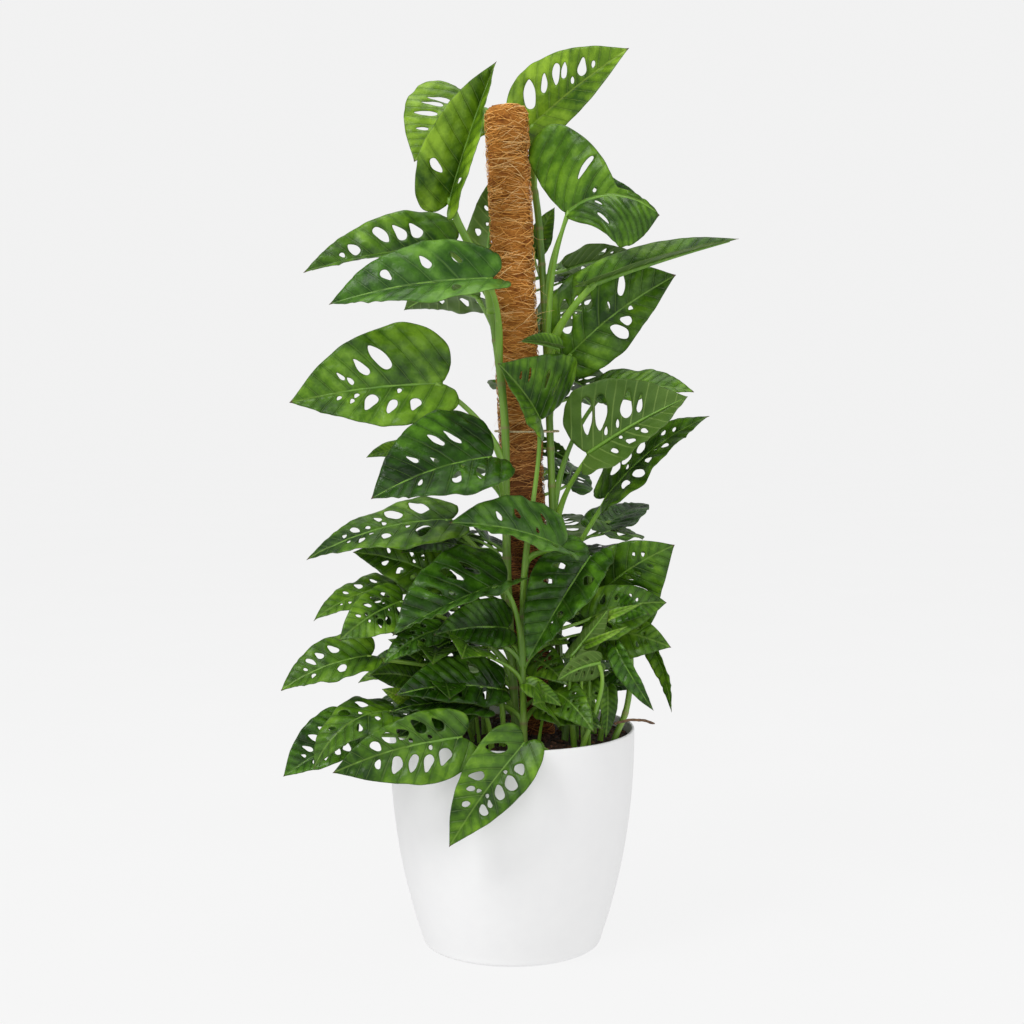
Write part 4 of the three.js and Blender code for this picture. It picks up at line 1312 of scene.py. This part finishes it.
def add_loose_hairs(build, low, high):
    """Ends that stand off the sleeve, thickest on its left side half way up."""
    rng = np.random.default_rng(19)
    for i in range(LOOSE_HAIRS):
        whisker = i % 5 == 0
        height = rng.normal(600, 45) - POLE_FOOT[2] if whisker else rng.uniform(low + 5, high - 5)
        angle = rng.uniform(2.6, 3.8) if whisker else rng.uniform(0, 2 * math.pi)
        reach = rng.uniform(8, 20) if whisker else rng.uniform(2, 6)
        t = np.linspace(0, 1, 8)
        path = height + rng.uniform(-14, 8) * t + rng.uniform(-4, 4) * np.sin(3 * t)
        radius = sleeve_radius(path) + reach * t**1.6
        line = on_pole(path, angle + rng.uniform(-0.35, 0.35) * t, radius)
        vertices, faces, _along = sweep(line, 0.16 * (1 - 0.6 * t), 3, up=POLE_AXIS)
        build.add(vertices, faces, 0, shade=0.9, height=vertices[:, 2])


def make_tie():
    """Twine of two twisted strands, tied round the pole and the right stem."""
    build = Build()
    centre = np.array(TIE["centre"], float)
    t = np.linspace(0, 2 * math.pi, 97)
    radius = TIE["radius"] + 0.3 * np.sin(5 * t)
    for turn in (0, math.pi):
        twist = 26 * t + turn
        path = radius + 0.55 * np.cos(twist)
        line = np.stack([path * np.cos(t), path * np.sin(t), 0.55 * np.sin(twist)], 1)[:-1] + centre
        vertices, faces = ring_tube(line, 0.62, 8)
        build.add(vertices, faces, 0)
    tie = build.finish("twine_tie", [twine_material], "twine")
    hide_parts("tie_ring")


def ring_tube(points, radius, sides):
    """A closed loop of tube through points."""
    count = len(points)
    tangents = np.roll(points, -1, 0) - np.roll(points, 1, 0)
    tangents /= np.linalg.norm(tangents, axis=1)[:, None]
    side = np.cross(tangents, [0.0, 0.0, 1.0])
    side /= np.linalg.norm(side, axis=1)[:, None]
    up = np.cross(side, tangents)
    a = np.linspace(0, 2 * math.pi, sides, endpoint=False)
    vertices = np.vstack([
        p + radius * (np.cos(a)[:, None] * s + np.sin(a)[:, None] * u) for p, s, u in zip(points, side, up)
    ])
    k = np.arange(sides)
    after = (k + 1) % sides
    faces = []
    for i in range(count):
        first, second = i * sides, (i + 1) % count * sides
        faces += list(zip(first + k, second + k, second + after, first + after))
    return vertices, faces


# ---------------------------------------------------------------- stems
def make_vine(name, vine, seed):
    rng = random.Random(seed)
    line = resample(vine_lines[name], 3.0)
    count = len(line)
    arc = np.arange(count) * 3.0
    spacing = rng.uniform(34, 44)
    near = np.abs((arc + rng.uniform(0, 30)) % spacing - spacing / 2)
    knot = np.exp(-((near / 2.6) ** 2))
    radii = vine["radius"] * (1 - 0.16 * arc / arc[-1]) * (0.92 + 0.14 * knot)
    radii[-3:] *= [0.85, 0.6, 0.25]
    build = Build()
    vertices, faces, _along = sweep(line, radii, 14)
    ring = np.concatenate([np.repeat(knot, 14), [knot[0], knot[-1]]])
    build.add(vertices, faces, 0, node=ring)
    for i in np.flatnonzero((knot > 0.8) & (line[:, 2] > 240)):
        if rng.random() < 0.3:
            add_root_stub(build, line[i], radii[i], rng)
    piece = build.finish(name + "_stem", [vine_material], "stem")
    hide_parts(name)


def add_root_stub(build, place, radius, rng):
    """A short brown aerial root starting at a node of a stem."""
    angle = rng.uniform(-2.6, -0.5)
    out = np.array([math.cos(angle), math.sin(angle), -0.35])
    t = np.linspace(0, 1, 7)[:, None]
    line = place + out * radius * 0.6 + out * rng.uniform(5, 11) * t + np.array([0, 0, -3.0]) * t**2
    vertices, faces, _along = sweep(line, 0.9 * (1.1 - 0.7 * t[:, 0]), 6)
    build.add(vertices, faces, 0, node=0.9)


def make_aerial_root():
    rng = random.Random(5)
    line = catmull(RIM_ROOT, 10)
    wander = np.array([
        [0.25 * math.sin(i * 0.9), 0.2 * math.cos(i * 0.7), 0.25 * math.sin(i * 0.6)]
        for i in range(len(line))
    ])
    radii = [1.35 * (1 + 0.08 * math.sin(1.7 * i) + rng.uniform(-0.04, 0.04)) for i in range(len(line))]
    radii[-2:] = [1.0, 0.5]
    build = Build()
    vertices, faces, _along = sweep(line + wander, radii, 10)
    build.add(vertices, faces, 0)
    piece = build.finish("rim_root", [root_material], "root")
    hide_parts("aerial_root")


# ---------------------------------------------------------------- fill leaves
class Clearance:
    """Distances to everything already placed, in mm."""

    def __init__(self):
        self.trees = []

    def take(self, points):
        tree = kdtree.KDTree(len(points))
        for i, p in enumerate(points):
            tree.insert(p, i)
        tree.balance()
        self.trees.append(tree)

    def clear(self, points, least):
        return all(tree.find(p)[2] >= least for p in points for tree in self.trees)


def sample_blade(leaf, f):
    """A coarse net of points over a blade."""
    points = []
    for side, sign in ((0, -1), (1, 1)):
        for reach, y in HALF_OUTLINE[1:-1:2]:
            for share in (0.3, 0.65, 1.0):
                points.append((sign * share * reach * leaf["half"][side], y))
    points += [(0.01, y) for y in (0.1, 0.3, 0.5, 0.7, 0.9, 1.0)]
    x, y = np.array(points).T
    return blade_points(leaf, f, x, y, np.zeros_like(x))


def in_bounds(points):
    if (points < CAD_LOW + 2).any() or (points > CAD_HIGH - 2).any():
        return False
    out = np.hypot(points[:, 0], points[:, 1])
    over_pot = (points[:, 2] > POT["height"] + 5) | (out > POT["rim"] + 4)
    return bool(over_pot.all())


def random_leaf(rng, region):
    low, high = np.array(region["low"], float), np.array(region["high"], float)
    base = low + (high - low) * np.array([rng.random() for _ in range(3)])
    span = rng.uniform(*region["size"])
    outward = math.atan2(base[1], base[0]) + rng.gauss(0, 0.6)
    pitch = rng.uniform(-0.55, 0.3)
    level = math.cos(pitch)
    chord = span * np.array([math.cos(outward) * level, math.sin(outward) * level, math.sin(pitch)])
    face = np.array([math.cos(outward) * 0.3, region["face"], 0.7]) + [rng.gauss(0, 0.25) for _ in range(3)]
    wide = span * rng.uniform(0.26, 0.36)
    return {
        "base": tuple(base),
        "tip": tuple(base + chord),
        "face": tuple(face),
        "half": (wide, wide * rng.uniform(0.8, 1.2)),
        "droop": rng.uniform(15, 45),
        "fold": (rng.uniform(5, 25), rng.uniform(5, 25)),
        "holes": rng.choice(("none", "few", "few", "open")),
        "look": rng.choice(region["looks"]),
        "stalk": rng.uniform(1.3, 1.8),
    }


def stalk_choices(leaf, region):
    base = np.array(leaf["base"])
    for name in region["vines"]:
        line = vine_lines[name]
        height = np.clip(base[2] - 45, line[0, 2] + 60, line[-1, 2] - 8)
        yield (name, float(height))
    if region["soil"]:
        for share in (0.8, 0.55):
            yield (float(base[0] * share), float(base[1] * share))


# Boxes of the plant's inside that the fill leaves stand in, and what they grow from. The low, inner boxes
# mostly take the dark look, which is partly painted shade.
FILL_SEED = 2024
FILL_TRIES = 900
FILL_GAP = 4.0
FILL_STALK_GAP = 3.0
FILL_REGIONS = [
    {
        "low": (-95, -78, 250), "high": (92, -10, 350), "size": (44, 86), "face": -0.9, "count": 34,
        "looks": ("dark", "dark", "mid"), "vines": ("vine_front", "vine_left", "vine_right"), "soil": True,
    },
    {
        "low": (-95, -30, 250), "high": (95, 75, 420), "size": (55, 95), "face": -0.3, "count": 26,
        "looks": ("dark", "mid"), "vines": ("vine_back", "vine_right", "vine_left"), "soil": True,
    },
    {
        "low": (-60, 40, 320), "high": (70, 90, 700), "size": (55, 90), "face": 0.6, "count": 12,
        "looks": ("mid", "dark"), "vines": ("vine_back",), "soil": False,
    },
]


def make_fill_leaves(clearance):
    rng = random.Random(FILL_SEED)
    number = 0
    for region in FILL_REGIONS:
        made = 0
        for _ in range(FILL_TRIES):
            if made == region["count"]:
                break
            leaf = random_leaf(rng, region)
            f = blade_frame(leaf)
            net = sample_blade(leaf, f)
            if not in_bounds(net) or not clearance.clear(net.tolist(), FILL_GAP):
                continue
            for source in stalk_choices(leaf, region):
                leaf["from"] = source
                line = stalk_line(leaf, f, 24)
                if clearance.clear(line[5:-2].tolist(), FILL_STALK_GAP):
                    number += 1
                    made += 1
                    make_leaf(f"fill_leaf_{number:02d}", leaf, FIRST_SEEDS["fill"] + number)
                    clearance.take(np.vstack([net, line]).tolist())
                    break


# ---------------------------------------------------------------- the plant
def main():
    clearance = Clearance()
    placed = []
    for number, (name, leaf) in enumerate(LEAVES.items()):
        piece = make_leaf(name, leaf, FIRST_SEEDS["leaf"] + number)
        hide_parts(name)
        placed += [tuple(c / MM for c in v.co) for v in piece.data.vertices][:: 3 if FINE else 1]
    for number, (name, leaf) in enumerate(SMALL_LEAVES.items()):
        piece = make_leaf(name, leaf, FIRST_SEEDS["small"] + number)
        placed += [tuple(c / MM for c in v.co) for v in piece.data.vertices]
    clearance.take(placed)
    clearance.take([tuple(p) for line in vine_lines.values() for p in resample(line, 4.0)])
    heights = np.arange(150, POLE_LENGTH, 6.0)
    around = np.linspace(0, 2 * math.pi, 16, endpoint=False)
    pole = on_pole(heights[:, None], around[None], np.full((1, 1), POLE_RADIUS)).reshape(-1, 3)
    clearance.take([tuple(p) for p in pole])
    make_fill_leaves(clearance)
    for number, (name, vine) in enumerate(VINES.items()):
        make_vine(name, vine, FIRST_SEEDS["vine"] + number)
    make_aerial_root()
    make_sleeve()
    make_tie()
    make_pot()
    make_soil_crumbs()
    for node, material in (("potting_soil", soil_material), ("pole_core", wood_material)):
        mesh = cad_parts[node].data
        mesh.materials.clear()
        mesh.materials.append(material)


# ---------------------------------------------------------------- stage, light and camera
FLOOR_HALF = 12.0
BACKGROUND = 0.885
FLOOR_GLOW = 0.863
AMBIENT = 0.4
CAMERA_AT = (0.0, -1.7, 0.56)
CAMERA_PITCH = 86.0
CAMERA_LENS = 59.06
LIGHTS = [
    # name, place, aim, size, power
    ("key", (-1.4, -1.6, 2.5), (0, 0, 0.5), 1.2, 40),
    ("left", (-2.6, -0.7, 0.9), (0, 0, 0.2), 1.8, 12),
    ("front", (0.6, -3.0, 1.3), (0, 0, 0.3), 2.4, 22),
    ("right", (2.2, -0.8, 1.6), (0, 0, 0.5), 1.6, 12),
    ("top", (0.0, 0.3, 2.8), (0, 0, 0.5), 1.8, 22),
]


def make_stage():
    corners = [(sx * FLOOR_HALF, sy * FLOOR_HALF, 0) for sx, sy in ((-1, -1), (1, -1), (1, 1), (-1, 1))]
    mesh = bpy.data.meshes.new("floor")
    mesh.from_pydata(corners, [], [(0, 1, 2, 3)])
    floor = bpy.data.objects.new("floor", mesh)
    bpy.context.scene.collection.objects.link(floor)
    g = Graph("floor", Specular_IOR_Level=0.0, Emission_Strength=FLOOR_GLOW, Emission_Color=(1, 1, 1, 1))
    tone = g.ramp(g.noise(3, 2.0), (0.3, (0.05, 0.05, 0.05)), (0.7, (0.056, 0.056, 0.056)))
    mesh.materials.append(g.finish(tone, 0.9))
    world = bpy.data.worlds.new("world")
    world.use_nodes = True
    tree = world.node_tree
    background = tree.nodes["Background"]
    background.inputs["Color"].default_value = (1, 1, 1, 1)
    ray = tree.nodes.new("ShaderNodeLightPath")
    strength = tree.nodes.new("ShaderNodeMapRange")
    strength.inputs["To Min"].default_value = AMBIENT
    strength.inputs["To Max"].default_value = BACKGROUND
    tree.links.new(ray.outputs["Is Camera Ray"], strength.inputs["Value"])
    tree.links.new(strength.outputs["Result"], background.inputs["Strength"])
    bpy.context.scene.world = world


def make_lights():
    for name, place, aim, size, power in LIGHTS:
        data = bpy.data.lights.new(name, "AREA")
        data.shape = "DISK"
        data.size = size
        data.energy = power
        light = bpy.data.objects.new(name, data)
        light.location = place
        light.rotation_euler = (Vector(aim) - Vector(place)).to_track_quat("-Z", "Y").to_euler()
        bpy.context.scene.collection.objects.link(light)


def make_camera():
    data = bpy.data.cameras.new("camera")
    data.lens = CAMERA_LENS
    data.sensor_width = 36
    camera = bpy.data.objects.new("camera", data)
    camera.location = CAMERA_AT
    camera.rotation_euler = (math.radians(CAMERA_PITCH), 0, 0)
    bpy.context.scene.collection.objects.link(camera)
    bpy.context.scene.camera = camera


main()
make_stage()
make_lights()
make_camera()
bpy.context.scene.view_settings.view_transform = "Standard"
